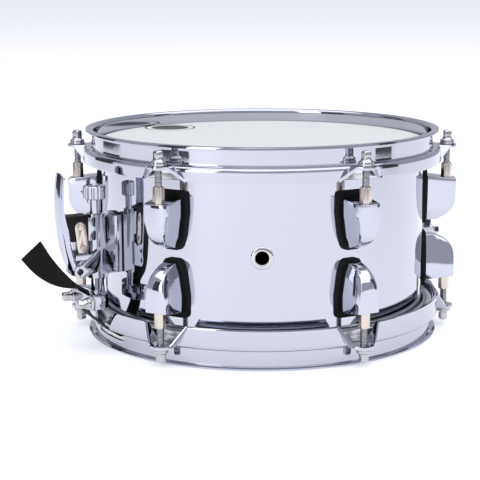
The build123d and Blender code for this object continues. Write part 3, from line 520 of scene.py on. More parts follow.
# --- Heads --------------------------------------------------------------------------
# Polyester films crimped into drawn aluminium rings. The batter film is sprayed with a
# rough white coat and printed with one plain grey ring; the snare film is bare and thin.
def grained(name, colour, roughness, scale, depth, strength, mottled=0.0):
    """A surface with a fine raised grain, and a slight mottling of its colour."""
    material, shader = plain_material(name, colour, roughness)
    tree = material.node_tree
    place = tree.nodes.new("ShaderNodeTexCoord")
    grain = tree.nodes.new("ShaderNodeTexNoise")
    grain.inputs["Scale"].default_value = scale
    grain.inputs["Detail"].default_value = 4
    bump = tree.nodes.new("ShaderNodeBump")
    bump.inputs["Strength"].default_value = strength
    bump.inputs["Distance"].default_value = depth
    tree.links.new(place.outputs["Object"], grain.inputs["Vector"])
    tree.links.new(grain.outputs["Fac"], bump.inputs["Height"])
    tree.links.new(bump.outputs["Normal"], shader.inputs["Normal"])
    if mottled:
        cloud = tree.nodes.new("ShaderNodeTexNoise")
        cloud.inputs["Scale"].default_value = scale / 12
        blend = tree.nodes.new("ShaderNodeMix")
        blend.data_type = "RGBA"
        blend.inputs["A"].default_value = (*[c * (1 - mottled) for c in colour], 1)
        blend.inputs["B"].default_value = (*[min(1, c * (1 + mottled)) for c in colour], 1)
        tree.links.new(place.outputs["Object"], cloud.inputs["Vector"])
        tree.links.new(cloud.outputs["Fac"], blend.inputs["Factor"])
        tree.links.new(blend.outputs["Result"], shader.inputs["Base Color"])
    return material


def printed_ring(material, centre, middle, half, ink):
    """Prints a plain ring of ink on a material, round a centre."""
    tree = material.node_tree
    shader = tree.nodes["Principled BSDF"]
    place = tree.nodes.new("ShaderNodeTexCoord")
    flat = tree.nodes.new("ShaderNodeVectorMath")
    flat.operation = "MULTIPLY"
    flat.inputs[1].default_value = (1, 1, 0)
    away = tree.nodes.new("ShaderNodeVectorMath")
    away.operation = "DISTANCE"
    away.inputs[1].default_value = (*centre, 0)
    off = tree.nodes.new("ShaderNodeMath")
    off.operation = "COMPARE"
    off.inputs[1].default_value = middle
    off.inputs[2].default_value = half
    paint = tree.nodes.new("ShaderNodeMix")
    paint.data_type = "RGBA"
    paint.inputs["B"].default_value = (*ink, 1)
    below = shader.inputs["Base Color"].links[0].from_socket
    tree.links.new(place.outputs["Object"], flat.inputs[0])
    tree.links.new(flat.outputs[0], away.inputs[0])
    tree.links.new(away.outputs["Value"], off.inputs[0])
    tree.links.new(off.outputs[0], paint.inputs["Factor"])
    tree.links.new(below, paint.inputs["A"])
    tree.links.new(paint.outputs["Result"], shader.inputs["Base Color"])


coated_film = grained("coated_film", (0.66, 0.67, 0.66), 0.62, 2600, 0.00012, 0.35, 0.03)
printed_ring(coated_film, (-0.0296, 0.1037), 0.0205, 0.0010, (0.10, 0.10, 0.11))
printed_ring(coated_film, (-0.0296, 0.1037), 0.0078, 0.0078, (0.06, 0.06, 0.07))
clear_film = grained("clear_film", (0.72, 0.74, 0.77), 0.25, 400, 0.0001, 0.05, 0.02)
ring_metal = grained("ring_aluminium", (0.74, 0.74, 0.75), 0.32, 1200, 0.00004, 0.2, 0.05)
ring_metal.node_tree.nodes["Principled BSDF"].inputs["Metallic"].default_value = 1.0


def stretched_head(name, node, ring_name, ring_node, upward, film_material, film_slot):
    film_low, film_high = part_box(node)
    crown, rim = (film_high.z, film_low.z) if upward else (film_low.z, film_high.z)
    sign = 1 if upward else -1
    outside = 0.1294
    bend = arc((outside - 0.0021, 0.0021), 0.0021, 270, 360, 8)
    skin = [(0.0, 0.0), (0.030, 0.0), (0.060, 0.0), (0.090, 0.0), (0.115, 0.0)] + bend
    skin.append((outside, abs(crown - rim)))
    under = [(max(0.0, r - 0.0003 if d > 0.0004 else r), max(d, 0.0003)) for r, d in reversed(skin)]
    profile = [(r, crown - sign * d) for r, d in skin + under]
    film = lathed(name, profile, 240, film_material, closed=False)
    fitted(shade(film, 60), "drum", film_slot, node)
    low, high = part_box(ring_node)
    inner, outer = outside, high.x
    soft = 0.0012
    turns = [(inner + soft, low.z + soft, 180, 270), (outer - soft, low.z + soft, 270, 360),
             (outer - soft, high.z - soft, 0, 90), (inner + soft, high.z - soft, 90, 180)]
    section = [p for x, z, a, b in turns for p in arc((x, z), soft, a, b, 4)]
    waist = (low.z + high.z) / 2
    section.insert(10, (outer - 0.0007, waist))
    section.insert(11, (outer - 0.0007, waist + 0.0004))
    ring = lathed(ring_name, section, 240, ring_metal)
    fitted(shade(ring, 45), "drum", "ring_aluminium", ring_node)


for side, upward, film_material, film_slot in (
    ("batter", True, coated_film, "coated_film"),
    ("snare", False, clear_film, "clear_film"),
):
    stretched_head(
        side + "_film", side + "_head_film", side + "_flesh_ring", side + "_head_ring",
        upward, film_material, film_slot,
    )


# --- Lugs ---------------------------------------------------------------------------
# Hollow zinc castings, polished and chromed, one for each rod. Each is broad at the
# shell, with a flat facet down its front that narrows towards the shell's waist.
cast_chrome = mirror_chrome("cast_chrome", (0.54, 0.55, 0.62), 0.045)
LUG_SEAT, LUG_FACE = 0.1300, 0.1530
LUG_HEIGHT = 0.036
lug_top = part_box("batter_lug_2")[1].z


def between(stations, at):
    """A value read off (place, value) stations by straight lines."""
    for (a, u), (b, v) in zip(stations, stations[1:]):
        if at <= b:
            return u + (v - u) * (at - a) / (b - a)
    return stations[-1][1]


def cast_lug():
    root = [(0, 0.0101), (0.011, 0.0104), (0.028, 0.0080), (0.036, 0.0050)]
    face = [(0, 0.0083), (0.010, 0.0086), (0.025, 0.0062), (0.036, 0.0036)]
    drops = [0, 0.004, 0.008, 0.012, 0.016, 0.018, 0.0205, 0.023, 0.0255, 0.028]
    drops += [0.030, 0.032, 0.0335, 0.0347, 0.0355, 0.036]
    rings = []
    for drop in drops:
        fall = max(0.0, (drop - 0.018) / (LUG_HEIGHT - 0.018))
        front = LUG_SEAT + (LUG_FACE - LUG_SEAT) * math.sqrt(max(0.0, 1 - (fall * 0.975) ** 2.2))
        wide, narrow = between(root, drop), between(face, drop)
        share = (front - LUG_SEAT) / (LUG_FACE - LUG_SEAT)
        narrow = wide + (narrow - wide) * share
        slope = 0.0026 * max(0.0, 1 - drop / 0.012)
        ring = []
        for x, y in [(LUG_SEAT, wide), (LUG_SEAT + 0.35 * (front - LUG_SEAT), wide * 0.99),
                     (LUG_SEAT + 0.72 * (front - LUG_SEAT), wide * 0.45 + narrow * 0.55 + 0.0004),
                     (front - 0.0006, narrow), (front, narrow - 0.0018), (front + 0.00025 * share, 0.0)]:
            ring.append((x, y, lug_top - drop - slope * (x - LUG_SEAT) / (LUG_FACE - LUG_SEAT)))
        rings.append(ring + [(x, -y, z) for x, y, z in reversed(ring[:-1])])
    count = len(rings[0])
    verts = [p for ring in rings for p in ring]
    faces = [tuple(range(count)), tuple(range(len(verts) - 1, len(verts) - count - 1, -1))]
    for i in range(len(rings) - 1):
        for j in range(count):
            k = (j + 1) % count
            faces.append((i * count + j, i * count + k, (i + 1) * count + k, (i + 1) * count + j))
    mesh = bpy.data.meshes.new("lug_pattern")
    mesh.from_pydata(verts, [], faces)
    lug = outward(linked("lug_pattern", mesh))
    soften = lug.modifiers.new("soft_edges", "BEVEL")
    soften.width = 0.0011
    soften.segments = 4
    soften.limit_method = "ANGLE"
    soften.angle_limit = math.radians(24)
    return apply_all(lug)


around_drum = Tree("six_round_the_drum")
pattern = around_drum.source.outputs["Geometry"]
how_many = around_drum.size("Count", "NodeSocketInt")
first = around_drum.size("First azimuth")
finish = around_drum.size("Finish", "NodeSocketMaterial")
step = around_drum.maths("DIVIDE", math.tau, how_many)
index = around_drum.node("GeometryNodeInputIndex").outputs[0]
azimuth = around_drum.maths("ADD", first, around_drum.maths("MULTIPLY", index, step))
points = around_drum.node("GeometryNodePoints", {"Count": how_many})
turned_to = around_drum.node("ShaderNodeCombineXYZ", {"Z": azimuth})
copies = around_drum.node(
    "GeometryNodeInstanceOnPoints",
    {"Points": points.outputs[0], "Instance": pattern, "Rotation": turned_to.outputs[0]},
)
around_drum.finish(copies.outputs[0], finish)


def six(name, pattern_mesh, material, mirrored=False):
    """Six copies of a pattern made at azimuth 0, one at each rod, on the batter or snare side."""
    seed = pattern_mesh.copy()
    obj = around_drum.grow(name, {"Count": 6, "First azimuth": LUG_AZIMUTHS[0], "Finish": material}, seed)
    if mirrored:
        middle = (shell_low.z + shell_high.z) / 2
        obj.data.transform(Matrix.Translation((0, 0, 2 * middle)) @ Matrix.Scale(-1, 4, (0, 0, 1)))
        obj.data.flip_normals()
    return obj


lug_pattern = cast_lug()
for side in ("batter", "snare"):
    lugs = six(side + "_lug_castings", lug_pattern.data, cast_chrome, side == "snare")
    fitted(shade(lugs, 30), "drum", "lug_chrome", *[f"{side}_lug_{i}" for i in range(1, 7)])
bpy.data.objects.remove(lug_pattern)


# --- Lug gaskets --------------------------------------------------------------------
# Moulded black rubber pads under the lugs. Each shows as a dark rim round its casting.
rubber = grained("black_rubber", (0.003, 0.003, 0.0035), 0.65, 1500, 0.00005, 0.25, 0.15)
rubber.node_tree.nodes["Principled BSDF"].inputs["Specular IOR Level"].default_value = 0.2


def gasket_pattern():
    rounded = [(0.0090, 0.0046), (0.0118, 0.0040), (0.0127, 0.0022), (0.0130, -0.011), (0.0107, -0.028),
               (0.0082, -0.0355), (0.0066, -0.0378), (0.0040, -0.0386)]
    side = rounded + [(-y, z) for y, z in reversed(rounded)]
    layers = [(SHELL_RADIUS, 1.0), (SHELL_RADIUS + 0.0024, 1.0), (SHELL_RADIUS + 0.0030, 0.955)]
    verts, faces = [], []
    for radius, shrink in layers:
        for y, z in side:
            y *= shrink
            verts.append((math.sqrt(radius**2 - y**2), y, lug_top + z * (shrink * 0.5 + 0.5)))
    count = len(side)
    for i in range(len(layers) - 1):
        for j in range(count):
            k = (j + 1) % count
            faces.append((i * count + j, i * count + k, (i + 1) * count + k, (i + 1) * count + j))
    faces.append(tuple(range(count)))
    faces.append(tuple(range(len(verts) - 1, len(verts) - count - 1, -1)))
    mesh = bpy.data.meshes.new("gasket_pattern")
    mesh.from_pydata(verts, [], faces)
    return outward(linked("gasket_pattern", mesh))


gasket = gasket_pattern()
batter_gaskets = six("batter_lug_gaskets", gasket.data, rubber)
fitted(shade(batter_gaskets, 40), "drum", "black_rubber", "lug_gaskets")
snare_gaskets = six("snare_lug_gaskets", gasket.data, rubber, True)
fitted(shade(snare_gaskets, 40), "drum", "black_rubber")
bpy.data.objects.remove(gasket)


# --- Swivel nuts --------------------------------------------------------------------
# Hexagonal nickel nuts that sit loose in the lugs' open ends and take the rods.
def satin_metal(name, colour, roughness, scale=700):
    material = grained(name, colour, roughness, scale, 0.00004, 0.15, 0.06)
    material.node_tree.nodes["Principled BSDF"].inputs["Metallic"].default_value = 1.0
    return material


warm_nickel = satin_metal("warm_nickel", (0.66, 0.59, 0.52), 0.25)
NUT_ACROSS = 0.0074


def hexagonal_nut(low, high):
    corner, bore = NUT_ACROSS / math.sqrt(3), 0.0029
    layers = [
        (low, corner, 6), (high - 0.0009, corner, 6), (high, NUT_ACROSS / 2 * 0.95, 48),
        (high, bore, 48), (high - 0.003, bore, 48),
    ]
    steps = 48
    verts, faces = [], []
    for z, size, sides in layers:
        for i in range(steps):
            a = math.tau * i / steps
            reach = size
            if sides == 6:
                reach = size * math.cos(math.pi / 6) / math.cos((a % (math.pi / 3)) - math.pi / 6)
            verts.append((ROD_CIRCLE + reach * math.cos(a), reach * math.sin(a), z))
    for i in range(len(layers) - 1):
        for j in range(steps):
            k = (j + 1) % steps
            faces.append((i * steps + j, i * steps + k, (i + 1) * steps + k, (i + 1) * steps + j))
    faces.append(tuple(range(steps)))
    faces.append(tuple(range(len(verts) - 1, len(verts) - steps - 1, -1)))
    mesh = bpy.data.meshes.new("nut_pattern")
    mesh.from_pydata(verts, [], faces)
    return outward(linked("nut_pattern", mesh))


nut_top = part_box("swivel_nuts")[1].z
nut = hexagonal_nut(lug_top - 0.004, nut_top)
batter_nuts = six("batter_swivel_nuts", nut.data, warm_nickel)
fitted(shade(batter_nuts, 28), "drum", "warm_nickel", "swivel_nuts")
snare_nuts = six("snare_swivel_nuts", nut.data, warm_nickel, True)
fitted(shade(snare_nuts, 28), "drum", "warm_nickel")
bpy.data.objects.remove(nut)


# --- Rod washers --------------------------------------------------------------------
# Chromed cup washers between the ears and the rods' heads.
washer_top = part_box("rod_washers")[1].z
washer_profile = [
    (0.0030, -0.0015), (0.0056, -0.0015), (0.0060, -0.0012), (0.0060, -0.0006),
    (0.0057, -0.0002), (0.0050, 0.0), (0.0034, 0.0), (0.0030, -0.0004),
]
washer = lathed("washer_pattern", washer_profile, 48, trim_chrome)
washer.data.transform(Matrix.Translation((ROD_CIRCLE, 0, washer_top)))
batter_washers = six("batter_rod_washers", washer.data, trim_chrome)
fitted(shade(batter_washers, 40), "drum", "washer_chrome", "rod_washers")
snare_washers = six("snare_rod_washers", washer.data, trim_chrome, True)
fitted(shade(snare_washers, 40), "drum", "washer_chrome")
bpy.data.objects.remove(washer)


# --- Tension rods -------------------------------------------------------------------
# Plated steel rods with drum-key heads: a round flange, a cone and a rounded square.
# The rolled thread is a ridge wound along a spiral, and it shows below each ear.
thread_steel = satin_metal("thread_steel", (0.30, 0.30, 0.31), 0.28)
key_chrome = mirror_chrome("key_chrome", (0.52, 0.51, 0.52), 0.06)


def key_head(flange, square, height, material, name):
    """A drum-key head that stands on z = 0, from rings that go from round to square."""
    rings = [
        (0.0, flange, 2), (height * 0.13, flange, 2),
        (height * 0.17, flange * 0.97, 2), (height * 0.195, flange * 0.9, 2),
        (height * 0.21, flange * 0.83, 2), (height * 0.28, square * 1.22, 2.2),
        (height * 0.36, square * 1.04, 3), (height * 0.45, square * 0.97, 5),
        (height * 0.55, square * 0.96, 6), (height * 0.80, square * 0.95, 6),
        (height * 0.89, square * 0.90, 5), (height * 0.95, square * 0.76, 4),
        (height * 0.985, square * 0.52, 3), (height, square * 0.2, 2),
    ]
    steps = 48
    verts, faces = [], []
    for z, size, power in rings:
        for i in range(steps):
            a = math.tau * i / steps
            c, s = math.cos(a), math.sin(a)
            reach = size / (abs(c) ** power + abs(s) ** power) ** (1 / power)
            verts.append((reach * c, reach * s, z))
    for i in range(len(rings) - 1):
        for j in range(steps):
            k = (j + 1) % steps
            faces.append((i * steps + j, i * steps + k, (i + 1) * steps + k, (i + 1) * steps + j))
    faces.append(tuple(range(steps)))
    faces.append(tuple(range(len(verts) - 1, len(verts) - steps - 1, -1)))
    mesh = bpy.data.meshes.new(name)
    mesh.from_pydata(verts, [], faces)
    mesh.materials.append(material)
    return shade(outward(linked(name, mesh)), 40)


winding = Tree("rolled_thread")
core = winding.size("Core radius")
ridge = winding.size("Ridge")
thread_length = winding.size("Length")
pitch = winding.size("Pitch")
steel = winding.size("Steel", "NodeSocketMaterial")
spiral = winding.node(
    "GeometryNodeCurveSpiral",
    {
        "Resolution": 18,
        "Rotations": winding.maths("DIVIDE", thread_length, pitch),
        "Start Radius": core,
        "End Radius": core,
        "Height": thread_length,
    },
)
tooth = winding.node("GeometryNodeCurvePrimitiveCircle", {"Resolution": 4, "Radius": ridge})
ridge_mesh = winding.node(
    "GeometryNodeCurveToMesh",
    {"Curve": spiral.outputs[0], "Profile Curve": tooth.outputs[0], "Fill Caps": True},
)
shank = winding.node("GeometryNodeMeshCylinder", {"Vertices": 32, "Radius": core, "Depth": thread_length})
half_up = winding.node("ShaderNodeCombineXYZ", {"Z": winding.maths("DIVIDE", thread_length, 2.0)})
stood = winding.node(
    "GeometryNodeTransform",
    {"Geometry": shank.outputs[0], "Translation": half_up.outputs[0]},
)
both = winding.node("GeometryNodeJoinGeometry")
for part in (ridge_mesh.outputs[0], stood.outputs[0]):
    winding.group.links.new(part, both.inputs[0])
winding.finish(both.outputs[0], steel)

rod_low, rod_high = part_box("batter_rod_2")
thread = winding.grow(
    "thread_pattern",
    {
        "Core radius": 0.00245, "Ridge": 0.00030, "Pitch": 0.00106,
        "Length": washer_top - 0.0020 - rod_low.z, "Steel": thread_steel,
    },
)
thread.data.transform(Matrix.Translation((0, 0, rod_low.z)))
head = key_head(0.0056, 0.00315, rod_high.z - washer_top, key_chrome, "key_head_pattern")
head.data.transform(Matrix.Translation((0, 0, washer_top)))
neck_profile = [(0.0, -0.004), (0.0026, -0.004), (0.0026, 0.0005), (0.0, 0.0005)]
neck = lathed("neck_pattern", neck_profile, 32, key_chrome)
neck.data.transform(Matrix.Translation((0, 0, washer_top)))
middle = (shell_low.z + shell_high.z) / 2
for side in ("batter", "snare"):
    for number, azimuth in enumerate(LUG_AZIMUTHS, start=1):
        place = Matrix.Translation((ROD_CIRCLE * math.cos(azimuth), ROD_CIRCLE * math.sin(azimuth), 0))
        place = place @ Matrix.Rotation(azimuth + math.radians(17 * number), 4, "Z")
        if side == "snare":
            place = Matrix.Translation((0, 0, 2 * middle)) @ Matrix.Scale(-1, 4, (0, 0, 1)) @ place
        for pattern_obj, part in ((head, "head"), (neck, "neck"), (thread, "thread")):
            piece = linked(f"{side}_rod_{number}_{part}", pattern_obj.data.copy())
            piece.data.transform(place)
            if side == "snare":
                piece.data.flip_normals()
            nodes = [f"{side}_rod_{number}"] if part == "head" else []
            fitted(shade(piece, 40), f"{side}_rod_{number}", "rod_steel", *nodes)
for pattern_obj in (head, neck, thread):
    bpy.data.objects.remove(pattern_obj)


# --- Strainer castings --------------------------------------------------------------
# The fixed body, the clamp's jaw and cover, the lever's inner arm and the butt are
# polished castings, so their edges are eased and their faces stay flat. The pad, the
# buffer and the small steel pieces between them are eased in the same way.
strainer_chrome = mirror_chrome("strainer_chrome", (0.50, 0.51, 0.56), 0.05)
cast_steel = satin_metal("cast_steel", (0.50, 0.51, 0.54), 0.25)


def eased_casting(name, node, body, slot, material, width, segments=3, angle=28):
    """A CAD solid with its sharp edges eased, as polishing leaves them."""
    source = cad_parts[node].data.copy()
    source.materials.clear()
    source.materials.append(material)
    piece = linked(name, source)
    work = bmesh.new()
    work.from_mesh(source)
    bmesh.ops.remove_doubles(work, verts=work.verts, dist=2e-6)
    bmesh.ops.dissolve_limit(work, angle_limit=math.radians(1.5), verts=work.verts, edges=work.edges)
    for face in work.faces:
        face.material_index = 0
    work.to_mesh(source)
    work.free()
    soften = piece.modifiers.new("eased_edges", "BEVEL")
    soften.width = width
    soften.segments = segments
    soften.limit_method = "ANGLE"
    soften.angle_limit = math.radians(angle)
    soften.use_clamp_overlap = True
    apply_all(piece)
    return fitted(shade(piece, 32), body, slot, node)


eased_casting("strainer_casting", "strainer_body", "drum", "strainer_chrome", strainer_chrome, 0.0007)
eased_casting("strainer_gasket", "strainer_pad", "drum", "black_rubber", rubber, 0.0002, 2)
eased_casting("lever_inner_arm", "lever_arm", "throw_lever", "cast_steel", cast_steel, 0.0004)
eased_casting("crossbar_spacer", "stop_spacer", "drum", "cast_steel", cast_steel, 0.0004)
eased_casting("clamp_jaw", "strainer_clamp_block", "snare_clamp", "strainer_chrome", strainer_chrome, 0.0006)
eased_casting("clamp_cover", "strainer_clamp_plate", "snare_clamp", "strainer_chrome", strainer_chrome, 0.0005)
eased_casting("butt_casting", "butt_body", "drum", "strainer_chrome", strainer_chrome, 0.0012)
eased_casting("butt_cover", "butt_clamp_plate", "drum", "strainer_chrome", strainer_chrome, 0.0005)

black_nylon = grained("black_nylon", (0.004, 0.004, 0.005), 0.5, 900, 0.00005, 0.2, 0.1)
black_nylon.node_tree.nodes["Principled BSDF"].inputs["Specular IOR Level"].default_value = 0.25
eased_casting("lever_buffer", "stop_block", "drum", "black_nylon", black_nylon, 0.0006)
eased_casting("nickel_strap", "stop_plate", "drum", "warm_nickel", warm_nickel, 0.00025, 2, 50)
dark_steel = satin_metal("dark_steel", (0.05, 0.05, 0.055), 0.35)
eased_casting("pivot_pin", "lever_pivot_pin", "drum", "dark_steel", dark_steel, 0.0003)


for node, slot, material in (
    ("stop_plate_screws", "warm_nickel", satin_metal("screw_nickel", (0.58, 0.50, 0.44), 0.2)),
    ("lug_screws", "zinc_steel", satin_metal("zinc_steel", (0.60, 0.60, 0.61), 0.32)),
    ("lug_screw_washers", "zinc_steel", bpy.data.materials["zinc_steel"]),
    ("mounting_screws", "zinc_steel", bpy.data.materials["zinc_steel"]),
    ("snare_end_plates", "brass_plate", satin_metal("brass_plate", (0.68, 0.55, 0.28), 0.28)),
    ("lift_piston", "strainer_chrome", strainer_chrome),
    ("adjust_spindle", "strainer_chrome", strainer_chrome),
):
    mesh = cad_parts[node].data
    mesh.materials.clear()
    mesh.materials.append(material)


# --- Throw lever --------------------------------------------------------------------
# A long blade pressed from steel sheet and chromed, bowed outwards, with side flanges
# that are deep beside the pivot and fade out towards the thumb end.
lever_chrome = mirror_chrome("lever_chrome", (0.50, 0.51, 0.59), 0.04)
LEVER_HALF, LEVER_GAUGE = 0.0082, 0.0016
lever_low, lever_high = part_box("throw_lever")


def lever_line(z):
    """How far the blade's outer face stands out from the shell at a height."""
    stations = [(0.062, 0.0386), (0.070, 0.0412), (0.078, 0.0434), (0.088, 0.0451), (0.098, 0.0462),
                (0.107, 0.0466), (0.116, 0.0466), (0.126, 0.0459), (0.135, 0.0449)]
    return between(stations, z)


def pressed_lever():
    low, high = lever_low.z, lever_high.z
    lengths, verts = 64, []
    for i in range(lengths + 1):
        z = low + (high - low) * i / lengths
        tip = max(0.0, (z - (high - 0.0035)) / 0.0035)
        half = LEVER_HALF - 0.0030 * tip**3
        deep = between([(0.062, 0.0044), (0.095, 0.0040), (0.108, 0.0018), (0.135, 0.0016)], z)
        front = (lever_line(z - 0.001) + lever_line(z) + lever_line(z + 0.001)) / 3 + SHELL_RADIUS
        corner = 0.0016
        line = [(-half, deep), (-half, (deep + corner) / 2)]
        for t in (0, 0.4, 0.8, 1.2, 1.5708):
            line.append((-half + corner * (1 - math.cos(t)), corner * (1 - math.sin(t))))
        line += [(y * half, 0.0) for y in (-0.6, -0.4, -0.2, 0.0)]
        line += [(-y, d) for y, d in reversed(line[:-1])]
        for y, d in line:
            crown = 0.0006 * (1 - (y / half) ** 2)
            dent = 0.0009 * eased((1.25 - math.hypot(y / 0.0040, (z - 0.0790) / 0.0105)) * 2.2)
            verts.append((-(front - d + (crown - dent if d < 0.0001 else 0) - 0.0004), -y, z))
    count = len(line)
    faces = []
    for i in range(lengths):
        for j in range(count - 1):
            faces.append((i * count + j, i * count + j + 1, (i + 1) * count + j + 1, (i + 1) * count + j))
    mesh = bpy.data.meshes.new("lever_blade")
    mesh.from_pydata(verts, [], faces)
    mesh.materials.append(lever_chrome)
    lever = linked("lever_blade", mesh)
    work = bmesh.new()
    work.from_mesh(mesh)
    bmesh.ops.recalc_face_normals(work, faces=work.faces)
    if sum(f.normal.x for f in work.faces) > 0:
        bmesh.ops.reverse_faces(work, faces=work.faces)
    work.to_mesh(mesh)
    work.free()
    thicken(lever, LEVER_GAUGE, -1)
    soften = lever.modifiers.new("soft_edges", "BEVEL")
    soften.width = 0.0004
    soften.segments = 2
    soften.limit_method = "ANGLE"
    soften.angle_limit = math.radians(60)
    apply_all(lever)
    return shade(lever, 50)


fitted(pressed_lever(), "throw_lever", "lever_chrome", "throw_lever")


# --- Height knob --------------------------------------------------------------------
# A turned brass knob, chromed, with wide scallops for the fingers round its rim.
knob_low, knob_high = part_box("adjust_knob")
knob_axis = ((knob_low.x + knob_high.x) / 2, 0.0)


def scalloped_knob():
    flutes, steps = 12, 192
    tall = knob_high.z - knob_low.z
    layers = [
        (0.0, 0.0, 0), (0.0, 0.0070, 0), (0.0, 0.0079, 0.6), (0.0007, 0.0086, 1),
        (tall - 0.0007, 0.0086, 1), (tall, 0.0078, 0.6), (tall, 0.0068, 0),
        (tall - 0.0005, 0.0060, 0), (tall - 0.0005, 0.0022, 0), (tall - 0.0005, 0.0, 0),
    ]
    verts, faces = [], []
    for z, size, share in layers:
        for i in range(steps):
            a = math.tau * i / steps
            scallop = max(0.0, math.cos(a * flutes))
            reach = size - 0.0006 * scallop * share
            verts.append((knob_axis[0] + reach * math.cos(a), reach * math.sin(a), knob_low.z + z))
    for i in range(len(layers) - 1):
        for j in range(steps):
            k = (j + 1) % steps
            faces.append((i * steps + j, i * steps + k, (i + 1) * steps + k, (i + 1) * steps + j))
    mesh = bpy.data.meshes.new("knob_turning")
    mesh.from_pydata(verts, [], faces)
    mesh.materials.append(strainer_chrome)
    return shade(outward(linked("knob_turning", mesh)), 35)


fitted(scalloped_knob(), "height_knob", "strainer_chrome", "adjust_knob")


# --- Clamp screws -------------------------------------------------------------------
# Two drum-key screws squeeze each strap under its cover plate, at strainer and butt.
def clamp_screws(name, node, body, azimuth):
    low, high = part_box(node)
    tip = max(abs(low.x), abs(high.x))
    height = (low.z + high.z) / 2
    sides = (low.y + 0.0046, high.y - 0.0046)
    seat = tip - 0.0095
    screw = key_head(0.0046, 0.00315, tip - seat, key_chrome, name + "_pattern")
    screw.data.transform(Matrix.Rotation(math.radians(90), 4, "Y"))
    pair = bmesh.new()
    for y in sides:
        copy = screw.data.copy()
        copy.transform(Matrix.Rotation(0.5 if y > 0 else -0.2, 4, "X"))
        copy.transform(Matrix.Translation((seat, y, height)))
        copy.transform(out_from_drum(azimuth))
        pair.from_mesh(copy)
    mesh = bpy.data.meshes.new(name)
    pair.to_mesh(mesh)
    pair.free()
    mesh.materials.append(key_chrome)
    bpy.data.objects.remove(screw)
    fitted(shade(linked(name, mesh), 40), body, "strainer_chrome", node)


clamp_screws("strainer_key_screws", "strainer_clamp_screws", "snare_clamp", math.pi)
clamp_screws("butt_key_screws", "butt_clamp_screws", "drum", 0.0)


# --- Straps -------------------------------------------------------------------------
# Two ribbons of black woven nylon tie the snares' end plates to the strainer and the
# butt. The strainer's has a long loose tail that leans out above its clamp and twists,
# and the tail rides on the piston.
def woven_nylon(name):
    """Ribbed ribbon: fine cross ribs along it, and a low sheen."""
    material, shader = plain_material(name, (0.003, 0.003, 0.0035), 0.8)
    shader.inputs["Specular IOR Level"].default_value = 0.2
    shader.inputs["Sheen Weight"].default_value = 0.04
    shader.inputs["Sheen Roughness"].default_value = 0.5
    tree = material.node_tree
    place = tree.nodes.new("ShaderNodeUVMap")
    place.uv_map = "cloth"
    ribs = tree.nodes.new("ShaderNodeTexWave")
    ribs.bands_direction = "Y"
    ribs.inputs["Scale"].default_value = 420
    ribs.inputs["Distortion"].default_value = 0.6
    ribs.inputs["Detail"].default_value = 2
    yarns = tree.nodes.new("ShaderNodeTexWave")
    yarns.bands_direction = "X"
    yarns.inputs["Scale"].default_value = 520
    yarns.inputs["Distortion"].default_value = 0.4
    cloth = tree.nodes.new("ShaderNodeMath")
    cloth.operation = "ADD"
    bump = tree.nodes.new("ShaderNodeBump")
    bump.inputs["Strength"].default_value = 0.6
    bump.inputs["Distance"].default_value = 0.0003
    worn = tree.nodes.new("ShaderNodeMapRange")
    worn.inputs["From Max"].default_value = 2.0
    worn.inputs["To Min"].default_value = 0.6
    worn.inputs["To Max"].default_value = 0.9
    tree.links.new(place.outputs["UV"], ribs.inputs["Vector"])
    tree.links.new(place.outputs["UV"], yarns.inputs["Vector"])
    tree.links.new(ribs.outputs["Fac"], cloth.inputs[0])
    tree.links.new(yarns.outputs["Fac"], cloth.inputs[1])
    tree.links.new(cloth.outputs[0], bump.inputs["Height"])
    tree.links.new(cloth.outputs[0], worn.inputs["Value"])
    tree.links.new(worn.outputs["Result"], shader.inputs["Roughness"])
    tree.links.new(bump.outputs["Normal"], shader.inputs["Normal"])
    return material


black_strap = woven_nylon("black_strap")
STRAP_HALF, STRAP_GAUGE = 0.0102, 0.0008


def ribbon(name, stations, azimuth):
    """A ribbon through (x, z, twist) stations, made at azimuth 0; returns it and its length."""
    fine = []
    for i in range(len(stations) - 1):
        before = stations[max(i - 1, 0)]
        after = stations[min(i + 2, len(stations) - 1)]
        a, b = stations[i], stations[i + 1]
        for n in range(8):
            t = n / 8
            h = [2 * t**3 - 3 * t**2 + 1, t**3 - 2 * t**2 + t, -2 * t**3 + 3 * t**2, t**3 - t**2]
            leaving = [(b[k] - before[k]) / 2 for k in range(3)]
            arriving = [(after[k] - a[k]) / 2 for k in range(3)]
            fine.append([
                h[0] * a[k] + h[1] * leaving[k] + h[2] * b[k] + h[3] * arriving[k] for k in range(3)
            ])
    fine.append(list(stations[-1]))
    verts, uvs, length, across = [], [], 0.0, 12
    for i, (x, z, twist) in enumerate(fine):
        ahead, behind = fine[min(i + 1, len(fine) - 1)], fine[max(i - 1, 0)]
        along = Vector((ahead[0] - behind[0], 0, ahead[1] - behind[1])).normalized()
        down = Vector((along.z, 0, -along.x))
        if i:
            length += math.hypot(x - fine[i - 1][0], z - fine[i - 1][1])
        turn = math.radians(twist)
        wide = Vector((0, 1, 0)) * math.cos(turn) + down * math.sin(turn)
        for j in range(across + 1):
            offset = (2 * j / across - 1) * (STRAP_HALF - 0.0002)
            verts.append(Vector((x, 0, z)) + wide * offset)
            uvs.append((offset, length))
    count = across + 1
    faces = [(i * count + j, i * count + j + 1, (i + 1) * count + j + 1, (i + 1) * count + j)
             for i in range(len(fine) - 1) for j in range(across)]
    mesh = bpy.data.meshes.new(name)
    mesh.from_pydata(verts, [], faces)
    layer = mesh.uv_layers.new(name="cloth")
    for loop in mesh.loops:
        layer.data[loop.index].uv = uvs[loop.vertex_index]
    mesh.materials.append(black_strap)
    mesh.transform(out_from_drum(azimuth))
    piece = linked(name, mesh)
    thicken(piece, STRAP_GAUGE - 0.0001, 0)
    apply_all(piece)
    return shade(piece, 60), length


plate_x = 0.098
under = (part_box("butt_strap")[0].z + STRAP_GAUGE / 2)


